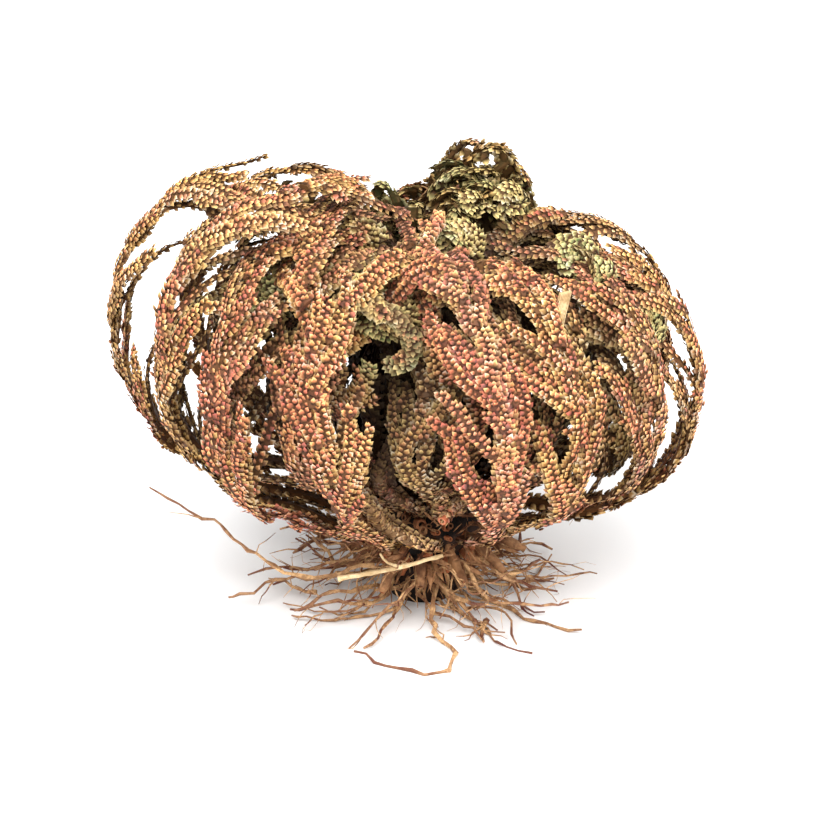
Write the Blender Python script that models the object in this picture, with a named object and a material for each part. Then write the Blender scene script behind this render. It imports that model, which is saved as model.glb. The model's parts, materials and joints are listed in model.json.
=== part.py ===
"""A dried resurrection plant: a crown with its roots, and the fronds that curl from it into a ball.

Every frond is one object: a main stem with side branches, roughened by the scale leaves that clothe it.
The fronds start on the crown, swing out, rise and curl inwards over the top. They are laid out by a rule
and then settled against each other, so that none touches its neighbour. Metres, +Z up, the floor is z = 0.
"""

import math
import random
from collections import namedtuple

import bmesh
import bpy
import numpy as np

MM = 0.001
SEED = 11

# The crown: a knob of old stem bases, with a stump of root wood below that stands on the floor
CROWN_CENTRE = np.array([0, 0, 11.5]) * MM
CROWN_RADII = np.array([9.2, 9.2, 6.8]) * MM
CROWN_SEGMENTS = 18
CROWN_RINGS = 9
CROWN_DENT = 0.6 * MM
STUMP_RADIUS = 5.4 * MM
FOOT_RADIUS = 4.8 * MM
STUMP_SIDES = 12

# Stems. A radius is half of the width across the two ranks of scale leaves. The section is a flattened
# diamond, and its left and right corners are drawn in by turns, as the scale leaves stand.
STEM_RADIUS = 2.0 * MM
BRANCH_RADIUS = 1.7 * MM
FLATNESS = 0.48
SCALE_RELIEF = 0.22
TIP_SHARE = 0.52
BARE_SHARE = 0.6
BARE_LENGTH = 11 * MM
STEP = 1.6 * MM
RING_PITCH = 4.9 * MM
RING_TURN = 26

# How a frond loops: its first stretch straight out of the crown, how wide the loop may be for its reach,
# and how much it tightens per degree past the angle where it starts to curl inwards
SEAT_RUN = 3.2 * MM
LOOP_WIDTH_SHARE = 0.62
CURL_FROM = 50
CURL_PER_DEGREE = 0.0022
LOOP_KNOTS = 8

# Side branches: where they start on the stem, how long they are near its base and how much less near its
# tip, how far they stand off it and how far they dip towards the middle of the ball
BRANCH_FIRST, BRANCH_LAST = 0.30, 0.86
BRANCH_LENGTH, BRANCH_LOSS = 24 * MM, 13 * MM
BRANCH_SPREAD = (4.0 * MM, 6.4 * MM)
BRANCH_DIP = (1.5 * MM, 5.5 * MM)

# Clearances, and how the stems are settled against each other
SEAT_GAP = 0.32 * MM
FROND_GAP = 0.45 * MM
SETTLE_ROUNDS = 200
SEARCH_EVERY = 9
SEARCH_MARGIN = 2.0 * MM

# Roots
ROOT_COUNT = 31
ROOT_HEIGHT = (2.5 * MM, 9.5 * MM)
ROOT_LENGTH = (13 * MM, 21 * MM)
FRONT_ROOT_EXTRA = 5 * MM
ROOT_DIP = (0, 30)
ROOT_DIP_PER_MM = 1.8
ROOT_KINK = 36
ROOT_WAVER = 22
ROOT_RADIUS = 0.6 * MM
ROOT_TIP_SHARE = 0.7
ROOT_STEP = 4.2 * MM
ROOT_SIDES = 3
KNOB_COUNT = 12
KNOB_RADIUS = 1.25 * MM
KNOB_LENGTH = (3.2 * MM, 6.0 * MM)
KNOB_PERCH = (-34, -20)

# The flat straw blade caught between the fronds
STRAW_RADIUS = 1.5 * MM
STRAW_FLATNESS = 0.3

BALL_CENTRE = np.array([0, 0, 36.0]) * MM

# A frond that loops from the crown. azimuth: its direction, with 0 to the right and 90 to the back.
# reach: its furthest distance from the axis. top: its highest point. end: how far round the loop the
# tip comes, where 0 is furthest out and 90 is the top. lean: sideways drift of the tip.
# first: where it joins its loop, -75 low and flat, -30 steep. low: the height of the loop's lowest point.
# pairs: number of side branches.
Loop = namedtuple("Loop", "azimuth reach top end lean first low pairs", defaults=(0, -45, 14, 5))

# A frond, stub or blade with a route of its own: points in millimetres after its seat on the crown,
# and the routes of its side branches, each of which starts on the main stem.
Free = namedtuple("Free", "name route branches thickness", defaults=((), 1.0))

OUTER = [
    Loop(180, 42, 64.5, 76, 0, -52, 16),
    Loop(200, 38, 66, 104, 7, -50, 15),
    Loop(221, 36.5, 60, 86, -3, -42),
    Loop(248, 33, 60, 92, -13, -34),
    Free("broken_frond_front", [(-5.5, -13.5, 15), (-8, -16, 19), (-10.5, -17, 23.4)], (), 1.1),
    Loop(290, 33, 58, 98, -8, -34),
    Loop(308, 34, 57, 86, -5, -36),
    Loop(330, 35, 55, 90, 2, -42),
    Loop(354, 37.3, 52, 86, 0, -76, 11.5),
    Loop(16, 35, 54, 102, 3, -50),
    Loop(42, 34, 50, 86, -3, -45),
    Loop(68, 33, 54, 94, 4, -45),
    Loop(96, 33, 52, 84, -4, -45),
    Loop(124, 34, 52, 92, 3, -45),
    Loop(152, 37, 59, 98, -3, -52, 15),
]
MIDDLE = [
    Loop(188, 36, 58, 102, -3, -40, 14, 4),
    Loop(210, 31, 54, 90, 4, -30, 14, 4),
    Loop(232, 29, 56, 106, -6, -25, 14, 4),
    Free("broken_frond_pointed", [(-6, -12.5, 21), (-7, -14, 25), (-5, -14, 28.5), (-3, -13.5, 31)]),
    Loop(268, 21, 45, 112, 5, -16, 14, 4),
    Loop(296, 28, 54, 100, -4, -25, 14, 4),
    Loop(316, 30, 53, 106, 2, -25, 14, 4),
    Loop(340, 31, 51, 94, -2, -30, 14, 4),
    Loop(6, 32, 50, 100, 3, -40, 14, 4),
    Loop(32, 29, 51, 92, -3, -30, 14, 4),
    Loop(60, 28, 52, 106, 3, -30, 14, 4),
    Loop(90, 28, 51, 94, -3, -30, 14, 4),
    Loop(122, 29, 52, 102, 3, -30, 14, 4),
    Loop(155, 31, 55, 92, -2, -30, 14, 4),
]
INNER = [
    Loop(205, 22, 50, 122, 3, -20, 14, 2),
    Free(
        "frond_front_curl",
        [
            (-8, -13, 25), (-10.5, -16, 34), (-12.3, -17, 43), (-11.5, -17.5, 49.5), (-8.3, -17.5, 53.3),
            (-4, -17.5, 52.3), (-1.6, -17.5, 48.2), (-2.2, -17.5, 43.6), (-5.2, -17.5, 43.2),
        ],
        [
            [(-10.5, -16, 34), (-8.4, -19, 38), (-7.6, -20.5, 43)],
            [(-12.3, -17, 43), (-8.6, -15, 46.5), (-5.2, -13.5, 49)],
            [(-8.3, -17.5, 53.3), (-3.5, -16, 55.6), (0.5, -15, 52.5), (1.6, -15.5, 47)],
        ],
    ),
    Free("broken_frond_side", [(4.6, -12.5, 20), (3.0, -16, 20.5), (0.8, -19, 19.2)], (), 0.95),
    Loop(280, 15, 42, 118, 4, -15, 14, 3),
    Loop(325, 21, 48, 125, -2, -20, 14, 2),
    Loop(10, 20, 48, 122, 3, -20, 14, 2),
    Free(
        "frond_top_curl",
        [
            (5, 4, 30), (6.5, 6.5, 42), (9, 7.5, 50), (9.6, 7.5, 55.5), (6.4, 7.5, 59.2), (2.6, 7, 57.3),
            (3.0, 6.4, 53.5),
        ],
        [
            [(9.0, 7.5, 50), (11.4, 7, 55), (14.0, 7, 57.6), (15.2, 7.5, 55)],
            [(6.5, 6.5, 42), (3.2, 9, 50), (2.4, 10, 56), (5.2, 10.6, 61.6), (9.4, 10, 60.2)],
            [(9.6, 7.5, 55.5), (12.4, 10, 56.6), (13.8, 9.6, 52.5), (12.6, 8.8, 48)],
            [(6.5, 6.5, 42), (4.8, 4.2, 49), (6.5, 3.4, 54.6), (10.4, 3.8, 56.6), (12.2, 4.6, 53)],
            [(6.4, 7.5, 59.2), (8.4, 7.5, 62), (11.8, 7.5, 61.2), (13.4, 7.5, 58)],
        ],
    ),
    Loop(95, 21, 49, 125, -3, -20, 14, 2),
    Loop(145, 22, 50, 120, 2, -20, 14, 2),
]
STRAW = Free("straw_blade", [(3, -3, 24), (10.5, -11.5, 32), (16.5, -17, 42), (18.6, -18.6, 52)])

# Roots that the rule below doesn't give: the long wiry one on the left and the kinked one in front
SPECIAL_ROOTS = [
    [(-7, -6, 6.5), (-15, -9, 6.5), (-23.5, -8, 10), (-30, -7.5, 15), (-37, -7, 18.6)],
    [(1, -7, 3), (0.5, -15, 2), (3.5, -20, 0.7), (0.5, -25.5, 0.6), (-5, -24, 0.6), (-9.5, -21.5, 1.4)],
]


def unit(vector):
    return vector / np.linalg.norm(vector)


def horizontal(degrees):
    return np.array([math.cos(math.radians(degrees)), math.sin(math.radians(degrees)), 0.0])


def crown_seat(azimuth, perch):
    """(point on the crown, outward normal) at this direction, with perch 0 at its side and 90 on top."""
    level, rise = math.cos(math.radians(perch)), math.sin(math.radians(perch))
    point = CROWN_RADII * (horizontal(azimuth) * level + np.array([0, 0, rise]))
    return CROWN_CENTRE + point, unit(point / CROWN_RADII**2)


def smooth_through(knots, samples=12):
    """A centripetal Catmull-Rom curve through the knots, as many points."""
    knots = np.asarray(knots)
    padded = np.vstack([2 * knots[0] - knots[1], knots, 2 * knots[-1] - knots[-2]])
    spans = np.sqrt(np.linalg.norm(np.diff(padded, axis=0), axis=1))[:, None]
    slopes = np.diff(padded, axis=0) / spans
    through = (padded[2:] - padded[:-2]) / (spans[1:] + spans[:-1])
    tangents = slopes[:-1] - through + slopes[1:]
    share = np.linspace(0, 1, samples, endpoint=False)[:, None]
    pieces = []
    for start, stop, leave, arrive, span in zip(knots, knots[1:], tangents, tangents[1:], spans[1:]):
        pieces.append(
            (2 * share**3 - 3 * share**2 + 1) * start
            + (share**3 - 2 * share**2 + share) * span * leave
            + (3 * share**2 - 2 * share**3) * stop
            + (share**3 - share**2) * span * arrive
        )
    return np.vstack([*pieces, knots[-1:]])


def resampled(points, pitch):
    """The same line with its points evenly spaced, about this far apart."""
    steps = np.linalg.norm(np.diff(points, axis=0), axis=1)
    along = np.concatenate([[0], np.cumsum(steps)])
    count = max(3, round(along[-1] / pitch) + 1)
    wanted = np.linspace(0, along[-1], count)
    return np.stack([np.interp(wanted, along, points[:, k]) for k in range(3)], axis=1)


def loop_route(loop, seat, normal):
    """The main stem of a looping frond, from its seat on the crown to its tip."""
    out, side = horizontal(loop.azimuth), horizontal(loop.azimuth + 90)
    low = max(loop.low * MM, seat[2])
    half_height = (loop.top * MM - low) / 2
    half_width = min(half_height, loop.reach * MM * LOOP_WIDTH_SHARE)
    centre = loop.reach * MM - half_width
    knots = [seat + normal * SEAT_GAP, seat + normal * SEAT_RUN]
    for turn in np.linspace(loop.first, loop.end, LOOP_KNOTS):
        done = (turn - loop.first) / (loop.end - loop.first)
        tighten = 1 - CURL_PER_DEGREE * max(0, turn - CURL_FROM)
        across = centre + half_width * tighten * math.cos(math.radians(turn))
        height = low + half_height * (1 + tighten * math.sin(math.radians(turn)))
        knots.append(out * across + side * loop.lean * MM * done**1.6 + np.array([0, 0, height]))
    return resampled(smooth_through(knots), STEP)


def free_route(points, seat, normal):
    knots = [seat + normal * SEAT_GAP, seat + normal * 2.4 * MM, *(np.array(points) * MM)]
    return resampled(smooth_through(knots), STEP)


def frames(points):
    """Tangent, outward normal and side direction at each point of a stem."""
    tangent = np.gradient(points, axis=0)
    tangent /= np.linalg.norm(tangent, axis=1)[:, None]
    outward = points - BALL_CENTRE
    outward -= (outward * tangent).sum(1)[:, None] * tangent
    outward /= np.linalg.norm(outward, axis=1)[:, None]
    return tangent, outward, np.cross(tangent, outward)


def branch_route(stem, start, length, side, spread, dip):
    """A side branch that leaves the stem at a sharp angle, runs on beside it and dips inwards."""
    tangent, outward, across = frames(stem)
    share = np.linspace(0, 1, max(3, round(length / STEP) + 1))
    place = start + share * length / STEP
    index = np.minimum(place, len(stem) - 1)
    low = np.minimum(index.astype(int), len(stem) - 2)
    part = (index - low)[:, None]

    def at(values):
        return values[low] * (1 - part) + values[low + 1] * part

    beyond = (place - index)[:, None] * STEP
    away = spread * (1 - (1 - share) ** 1.7)[:, None]
    inwards = dip * (share**1.8)[:, None]
    return at(stem) + at(tangent) * beyond + at(across) * side * away - at(outward) * inwards


# One strand of a frond or of the roots. owner: the object it belongs to. radii: half of its width
# at each point. parent and fork: the strand that it grows from and the point there, or None.
Strand = namedtuple("Strand", "owner points radii parent fork")


def tapered(points, radius, tip_share=TIP_SHARE, bare_share=1.0):
    """Half widths along a strand: narrower at the tip, and where the bare base has lost its leaves."""
    share = np.linspace(0, 1, len(points))
    leafy = np.minimum(1, bare_share + (1 - bare_share) * share * len(points) * STEP / BARE_LENGTH)
    return radius * (1 - (1 - tip_share) * share**2.2) * leafy


def loop_strands(name, loop, seat, normal, chance):
    stem = loop_route(loop, seat, normal)
    strands = [Strand(name, stem, tapered(stem, STEM_RADIUS, TIP_SHARE, BARE_SHARE), None, 0)]
    side = chance.choice([-1, 1])
    for k in range(loop.pairs):
        step = (k + chance.uniform(-0.15, 0.15)) / max(1, loop.pairs - 1)
        share = BRANCH_FIRST + (BRANCH_LAST - BRANCH_FIRST) * step
        start = int(share * len(stem))
        length = BRANCH_LENGTH - BRANCH_LOSS * share + chance.uniform(-2, 2) * MM
        spread = chance.uniform(*BRANCH_SPREAD)
        dip = chance.uniform(*BRANCH_DIP)
        route = branch_route(stem, start, length, side, spread, dip)
        strands.append(Strand(name, route, tapered(route, BRANCH_RADIUS), 0, start))
        side = -side
    return strands


def free_strands(free, seat, normal, radius=STEM_RADIUS):
    stem = free_route(free.route, seat, normal)
    radii = tapered(stem, radius * free.thickness, 0.7, BARE_SHARE)
    strands = [Strand(free.name, stem, radii, None, 0)]
    for points in free.branches:
        route = resampled(smooth_through(np.array(points) * MM), STEP)
        fork = int(np.argmin(np.linalg.norm(stem - route[0], axis=1)))
        route[0] = stem[fork]
        strands.append(Strand(free.name, route, tapered(route, BRANCH_RADIUS), 0, fork))
    return strands


def root_route(azimuth, dip, length, start_height, chance):
    """A wiry root: it leaves the crown or stump, kinks, sinks to the floor and runs on along it."""
    heading = azimuth
    radius = 2.4 * MM + 0.3 * start_height
    point = horizontal(azimuth) * radius + np.array([0, 0, start_height])
    points = [point]
    for k in range(max(3, round(length / ROOT_STEP))):
        heading += chance.uniform(-ROOT_KINK, ROOT_KINK)
        slope = math.radians(-dip + chance.uniform(-ROOT_WAVER, ROOT_WAVER) + 5 * k)
        step = horizontal(heading) * math.cos(slope) + np.array([0, 0, math.sin(slope)])
        point = point + step * ROOT_STEP
        point[2] = max(point[2], 1.15 * ROOT_RADIUS)
        points.append(point)
    return np.array(points)


def root_strands(chance):
    strands = []
    for k in range(ROOT_COUNT):
        azimuth = k * 137.5 + chance.uniform(-12, 12)
        start_height = chance.uniform(*ROOT_HEIGHT)
        front = 0.5 - 0.5 * math.sin(math.radians(azimuth))
        length = chance.uniform(*ROOT_LENGTH) + FRONT_ROOT_EXTRA * front
        dip = chance.uniform(*ROOT_DIP) + ROOT_DIP_PER_MM * start_height / MM
        route = root_route(azimuth, dip, length, start_height, chance)
        strands.append(Strand("rootstock", route, tapered(route, ROOT_RADIUS, ROOT_TIP_SHARE), None, 0))
        if k % 3 == 0:
            fork = len(route) // 2
            turned = azimuth + chance.choice([-1, 1]) * chance.uniform(30, 60)
            step = horizontal(turned) * 0.85 + np.array([0, 0, chance.uniform(-0.5, 0.3)])
            side = route[fork] + np.outer(np.arange(3) * ROOT_STEP * 0.9, step)
            side[:, 2] = np.maximum(side[:, 2], 1.15 * ROOT_RADIUS)
            radii = tapered(side, 0.85 * ROOT_RADIUS, 0.8)
            strands.append(Strand("rootstock", side, radii, len(strands) - 1, fork))
    for knots in SPECIAL_ROOTS:
        route = resampled(np.array(knots) * MM, ROOT_STEP)
        strands.append(Strand("rootstock", route, tapered(route, ROOT_RADIUS, ROOT_TIP_SHARE), None, 0))
    return strands


def knob_strands(chance):
    """The short dead stem bases between the fronds and the roots."""
    strands = []
    for k in range(KNOB_COUNT):
        azimuth = 360 * (k + chance.uniform(-0.25, 0.25)) / KNOB_COUNT
        seat, normal = crown_seat(azimuth, chance.uniform(*KNOB_PERCH))
        length = chance.uniform(*KNOB_LENGTH)
        route = [seat - normal * 2 * MM, seat + normal * 0.5 * length, seat + normal * length]
        route[2] = route[2] + np.array([0, 0, chance.uniform(-0.5, 0.8)]) * MM
        strands.append(Strand("rootstock", np.array(route), np.array([1, 0.9, 0.65]) * KNOB_RADIUS, None, 0))
    return strands


def grown_strands():
    """Every strand of the plant where it would grow with no neighbours."""
    chance = random.Random(SEED)
    groups = []
    for row, entries, perch, turned in (
        ("outer", OUTER, 2, 180),
        ("middle", MIDDLE, 31, 190),
        ("inner", INNER, 58, 205),
    ):
        for k, entry in enumerate(entries):
            seat, normal = crown_seat(turned + 360 * k / len(entries), perch)
            if isinstance(entry, Loop):
                groups.append(loop_strands(f"frond_{row}_{k + 1:02d}", entry, seat, normal, chance))
            else:
                groups.append(free_strands(entry, seat, normal))
    groups.append(free_strands(STRAW, *crown_seat(300, 84), STRAW_RADIUS))
    groups.append(root_strands(chance))
    groups.append(knob_strands(chance))
    strands = []
    for group in groups:
        first = len(strands)
        for strand in group:
            parent = None if strand.parent is None else first + strand.parent
            strands.append(strand._replace(parent=parent))
    return strands


def close_pairs(points, radius, owner, margin):
    """Pairs of points of different objects that are nearer than their radii and this margin."""
    away = np.zeros((len(points), len(points)))
    for axis in range(3):
        away += (points[:, None, axis] - points[None, :, axis]) ** 2
    reach = radius[:, None] + radius[None, :] + margin
    near = (away < reach**2) & (owner[:, None] != owner[None, :])
    first, second = np.nonzero(np.triu(near))
    return first, second


def crowding(points, radius, first, second):
    """(separation, how far it falls short) of each pair. The stems lie flat on the ball, so seen from its
    centre they may lie as close as they are thick, and side by side as close as they are wide."""
    apart = points[first] - points[second]
    radial = points[first] + points[second] - 2 * BALL_CENTRE
    radial /= np.linalg.norm(radial, axis=1)[:, None]
    depth = np.abs((apart * radial).sum(1))
    level = np.sqrt(np.maximum(0, (apart**2).sum(1) - depth**2))
    both = radius[first] + radius[second]
    share = np.hypot(level / (both + FROND_GAP), depth / (FLATNESS * both + FROND_GAP))
    return apart, np.maximum(0, 1 / np.maximum(share, 0.1) - 1)


def settled(strands):
    """The strands moved apart until none overlaps a strand of another object. What one point is pushed
    is shared with its neighbours along the strand, so the strands stay smooth."""
    starts = np.cumsum([0] + [len(s.points) for s in strands])
    points = np.vstack([s.points for s in strands])
    radius = np.concatenate([s.radii for s in strands])
    names = sorted({s.owner for s in strands})
    owner = np.concatenate([np.full(len(s.points), names.index(s.owner)) for s in strands])
    before, after = np.arange(len(points)) - 1, np.arange(len(points)) + 1
    free = np.ones(len(points))
    for strand, start, stop in zip(strands, starts, starts[1:]):
        after[stop - 1] = stop - 1
        if strand.parent is None:
            before[start] = start
            free[start : start + 2] = 0
            free[start + 2] = 0.5
        else:
            before[start] = starts[strand.parent] + strand.fork
    grown, moved = points.copy(), np.zeros_like(points)
    for turn in range(SETTLE_ROUNDS):
        if turn % SEARCH_EVERY == 0:
            first, second = close_pairs(points, radius, owner, FROND_GAP + SEARCH_MARGIN)
        apart, short = crowding(points, radius, first, second)
        push = apart * np.minimum(short, 0.5)[:, None] * 0.5
        shift, touches = np.zeros_like(points), np.ones(len(points))
        for index, way in ((first, 1), (second, -1)):
            np.add.at(shift, index, way * push)
            np.add.at(touches, index, short > 0)
        moved += 1.5 * shift / touches[:, None] * free[:, None]
        sunk = (grown + moved - CROWN_CENTRE) / (CROWN_RADII + radius[:, None] + SEAT_GAP)
        depth = np.linalg.norm(sunk, axis=1)
        inside = (depth < 1) & (free > 0) & (owner != names.index("rootstock"))
        moved[inside] += ((sunk / depth[:, None]) * (1 - depth[:, None]) * CROWN_RADII)[inside]
        blend = 0.5 if turn < SETTLE_ROUNDS - 40 else 0.15
        smooth = 0.5 * (moved[before] + moved[after])
        moved = ((1 - blend) * moved + blend * smooth) * np.minimum(1, 2 * free)[:, None]
        points = grown + moved
        points[:, 2] = np.maximum(points[:, 2], 1.15 * radius)
    result = []
    for strand, start, stop in zip(strands, starts, starts[1:]):
        route = points[start:stop].copy()
        if strand.parent is not None:
            route[0] = points[starts[strand.parent] + strand.fork]
        result.append(strand._replace(points=route))
    return result


def material(name, colour, roughness):
    made = bpy.data.materials.new(name)
    made.use_nodes = True
    shader = made.node_tree.nodes["Principled BSDF"]
    shader.inputs["Base Color"].default_value = (*colour, 1)
    shader.inputs["Roughness"].default_value = roughness
    shader.inputs["Metallic"].default_value = 0
    made.diffuse_color = (*colour, 1)
    return made


def new_object(name, mesh, collection):
    made = bpy.data.objects.new(name, mesh)
    collection.objects.link(made)
    return made


def ring_places(strand, pitch):
    """(centres, radii) of the sections along a strand, closer together where it bends."""
    steps = np.diff(strand.points, axis=0)
    lengths = np.linalg.norm(steps, axis=1)
    headings = steps / lengths[:, None]
    bends = np.degrees(np.arccos(np.clip((headings[:-1] * headings[1:]).sum(1), -1, 1)))
    need = lengths / pitch
    need[1:] = np.maximum(need[1:], bends / RING_TURN)
    along = np.concatenate([[0], np.cumsum(need)])
    wanted = np.linspace(0, along[-1], max(3, round(along[-1]) + 1))
    centres = np.stack([np.interp(wanted, along, strand.points[:, k]) for k in range(3)], axis=1)
    return centres, np.interp(wanted, along, strand.radii)


def scaly_section(centre, outward, across, radius, flatness, turn, ridged):
    """The corners of a stem's section: left, back and right, and in front a ridge or none.
    By turns, its left or its right corner is drawn in."""
    left, right = (1, 1 - SCALE_RELIEF) if turn % 2 else (1 - SCALE_RELIEF, 1)
    thick = outward * radius * flatness
    corners = [centre + across * radius * left, centre + thick, centre - across * radius * right]
    if ridged:
        corners.append(centre - thick)
    return corners


def round_section(centre, outward, across, radius, turn):
    """Three corners of a root's section, turned a little from one to the next."""
    corners = []
    for k in range(ROOT_SIDES):
        angle = 2 * math.pi * k / ROOT_SIDES + 0.25 * turn
        corners.append(centre + radius * (math.cos(angle) * outward + math.sin(angle) * across))
    return corners


def strand_mesh(strand):
    """A closed loft along a strand, through sections that change in width as the scale leaves do."""
    is_root = strand.owner == "rootstock"
    is_straw = strand.owner == "straw_blade"
    points, radii = ring_places(strand, ROOT_STEP if is_root else RING_PITCH)
    tangent, outward, across = frames(points)
    mesh = bmesh.new()
    rings = []
    for turn, (centre, out, side, radius) in enumerate(zip(points, outward, across, radii)):
        if is_root:
            corners = round_section(centre, out, side, radius, turn)
        else:
            flatness = STRAW_FLATNESS if is_straw else FLATNESS
            ridged = strand.parent is None
            corners = scaly_section(centre, out, side, radius, flatness, turn, ridged)
        rings.append([mesh.verts.new(corner) for corner in corners])
    for ring, following in zip(rings, rings[1:]):
        for k in range(len(ring)):
            nearby = (k + 1) % len(ring)
            mesh.faces.new((ring[k], ring[nearby], following[nearby], following[k]))
    mesh.faces.new(reversed(rings[0]))
    mesh.faces.new(rings[-1])
    bmesh.ops.recalc_face_normals(mesh, faces=mesh.faces)
    bmesh.ops.triangulate(mesh, faces=mesh.faces)
    result = bpy.data.meshes.new(strand.owner)
    mesh.to_mesh(result)
    mesh.free()
    return result


def only_largest_body(shape):
    """Leave only the largest connected body of a shape: scraps and sealed hollows go."""
    spare = [vertex for vertex in shape.verts if len(vertex.link_edges) == 2]
    bmesh.ops.dissolve_verts(shape, verts=spare)
    bmesh.ops.triangulate(shape, faces=shape.faces)
    bodies, seen = [], set()
    for start in shape.verts:
        if start in seen:
            continue
        seen.add(start)
        body, waiting = [start], [start]
        while waiting:
            for edge in waiting.pop().link_edges:
                for vertex in edge.verts:
                    if vertex not in seen:
                        seen.add(vertex)
                        body.append(vertex)
                        waiting.append(vertex)
        bodies.append(body)
    bodies.sort(key=len)
    for body in bodies[:-1]:
        bmesh.ops.delete(shape, geom=body, context="VERTS")


def joined(name, meshes, collection, finish):
    """One object from overlapping closed meshes, by one Boolean union. Where the exact solver leaves
    an edge with more than two faces, the manifold one takes its place."""
    base = new_object(name, meshes[0], collection)
    others = bpy.data.collections.new(name + "_pieces")
    collection.children.link(others)
    for mesh in meshes[1:]:
        new_object(name + "_piece", mesh, others)
    union = base.modifiers.new("union", "BOOLEAN")
    union.operation = "UNION"
    union.operand_type = "COLLECTION"
    union.collection = others
    shape = bmesh.new()
    for solver in ("EXACT", "MANIFOLD"):
        union.solver = solver
        evaluated = base.evaluated_get(bpy.context.evaluated_depsgraph_get())
        shape.clear()
        shape.from_mesh(evaluated.to_mesh())
        only_largest_body(shape)
        if all(edge.is_manifold for edge in shape.edges):
            break
    whole = bpy.data.meshes.new(name)
    shape.to_mesh(whole)
    shape.free()
    whole.materials.append(finish)
    base.modifiers.clear()
    base.data = whole
    for piece in list(others.objects):
        bpy.data.objects.remove(piece)
    bpy.data.collections.remove(others)
    return base


def crown_mesh():
    """The knob of old stem bases: a flattened ball, dented between the bases."""
    shape = bmesh.new()
    bmesh.ops.create_uvsphere(shape, u_segments=CROWN_SEGMENTS, v_segments=CROWN_RINGS, radius=1)
    for vertex in shape.verts:
        turn = math.atan2(vertex.co.y, vertex.co.x) * CROWN_SEGMENTS / (2 * math.pi)
        level = math.acos(max(-1, min(1, vertex.co.z))) * CROWN_RINGS / math.pi
        dent = CROWN_DENT if (round(turn) + round(level)) % 2 else 0
        for axis in range(3):
            vertex.co[axis] = CROWN_CENTRE[axis] + vertex.co[axis] * (CROWN_RADII[axis] - dent)
    result = bpy.data.meshes.new("crown")
    shape.to_mesh(result)
    shape.free()
    return result


def stump_mesh():
    """The root wood below the crown, down to its flat foot on the floor."""
    shape = bmesh.new()
    height = CROWN_CENTRE[2]
    bmesh.ops.create_cone(
        shape, cap_ends=True, segments=STUMP_SIDES, radius1=FOOT_RADIUS, radius2=STUMP_RADIUS, depth=height
    )
    bmesh.ops.translate(shape, verts=shape.verts, vec=(0, 0, height / 2))
    result = bpy.data.meshes.new("stump")
    shape.to_mesh(result)
    shape.free()
    return result


def finish_of(name, finishes):
    if name == "rootstock":
        return finishes["root_wood"]
    if name == "straw_blade":
        return finishes["straw"]
    if name.startswith("broken"):
        return finishes["bare_stem"]
    if name.endswith("curl") or name.startswith("frond_inner"):
        return finishes["green_scales"]
    return finishes["tan_scales"]


def main():
    for old in list(bpy.data.objects):
        bpy.data.objects.remove(old)
    finishes = {
        "tan_scales": material("tan_scales", (0.40, 0.24, 0.12), 0.75),
        "green_scales": material("green_scales", (0.17, 0.17, 0.07), 0.8),
        "bare_stem": material("bare_stem", (0.33, 0.22, 0.16), 0.7),
        "root_wood": material("root_wood", (0.30, 0.17, 0.08), 0.85),
        "straw": material("straw", (0.62, 0.48, 0.27), 0.6),
    }
    plant = bpy.data.collections.new("dried_resurrection_plant")
    bpy.context.scene.collection.children.link(plant)
    meshes = {"rootstock": [crown_mesh(), stump_mesh()]}
    for strand in settled(grown_strands()):
        meshes.setdefault(strand.owner, []).append(strand_mesh(strand))
    for name, pieces in meshes.items():
        joined(name, pieces, plant, finish_of(name, finishes))


if __name__ == "__main__":
    main()
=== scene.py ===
"""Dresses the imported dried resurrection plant: every frond gets its scale leaves, the crown its old
stem bases, the roots their joints and rootlets. Metres, +Z up, the floor is z = 0, the viewer is at -Y.

The stems are laid out by the rule that the part's source follows, so each dressed stem lies on its solid.
"""

import json
import math
import random
from collections import namedtuple
from functools import lru_cache

import bpy
import numpy as np
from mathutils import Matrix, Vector

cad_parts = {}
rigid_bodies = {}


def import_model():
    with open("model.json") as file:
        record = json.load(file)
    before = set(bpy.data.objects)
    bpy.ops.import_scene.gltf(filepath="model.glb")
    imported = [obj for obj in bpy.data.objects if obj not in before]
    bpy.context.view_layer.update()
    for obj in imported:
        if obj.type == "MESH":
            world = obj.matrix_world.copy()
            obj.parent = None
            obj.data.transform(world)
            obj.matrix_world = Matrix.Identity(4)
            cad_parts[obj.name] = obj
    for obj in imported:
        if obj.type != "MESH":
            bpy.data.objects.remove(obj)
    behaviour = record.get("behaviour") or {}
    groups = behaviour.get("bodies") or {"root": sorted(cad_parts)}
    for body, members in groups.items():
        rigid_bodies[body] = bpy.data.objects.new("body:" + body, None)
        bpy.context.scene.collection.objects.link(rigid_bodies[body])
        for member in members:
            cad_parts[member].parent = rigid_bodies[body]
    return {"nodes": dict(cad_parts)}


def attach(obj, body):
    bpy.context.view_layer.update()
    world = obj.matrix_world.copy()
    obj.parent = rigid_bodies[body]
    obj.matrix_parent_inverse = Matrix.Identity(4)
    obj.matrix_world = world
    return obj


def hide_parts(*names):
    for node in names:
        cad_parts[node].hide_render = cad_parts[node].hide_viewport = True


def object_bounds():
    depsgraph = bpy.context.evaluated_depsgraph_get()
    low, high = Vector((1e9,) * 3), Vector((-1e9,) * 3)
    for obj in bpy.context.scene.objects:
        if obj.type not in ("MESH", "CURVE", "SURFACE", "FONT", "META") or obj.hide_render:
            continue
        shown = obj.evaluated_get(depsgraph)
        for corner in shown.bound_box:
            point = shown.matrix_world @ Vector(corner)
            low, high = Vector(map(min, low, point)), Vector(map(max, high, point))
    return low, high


bl_info = {
    "name": "Dried resurrection plant",
    "version": (1, 0, 0),
    "blender": (4, 5, 0),
    "location": "3D View > Sidebar > Resurrection Plant",
    "description": "Dresses the packed plant with scale leaves, old stem bases, roots and a pale studio",
    "category": "Object",
}

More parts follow.
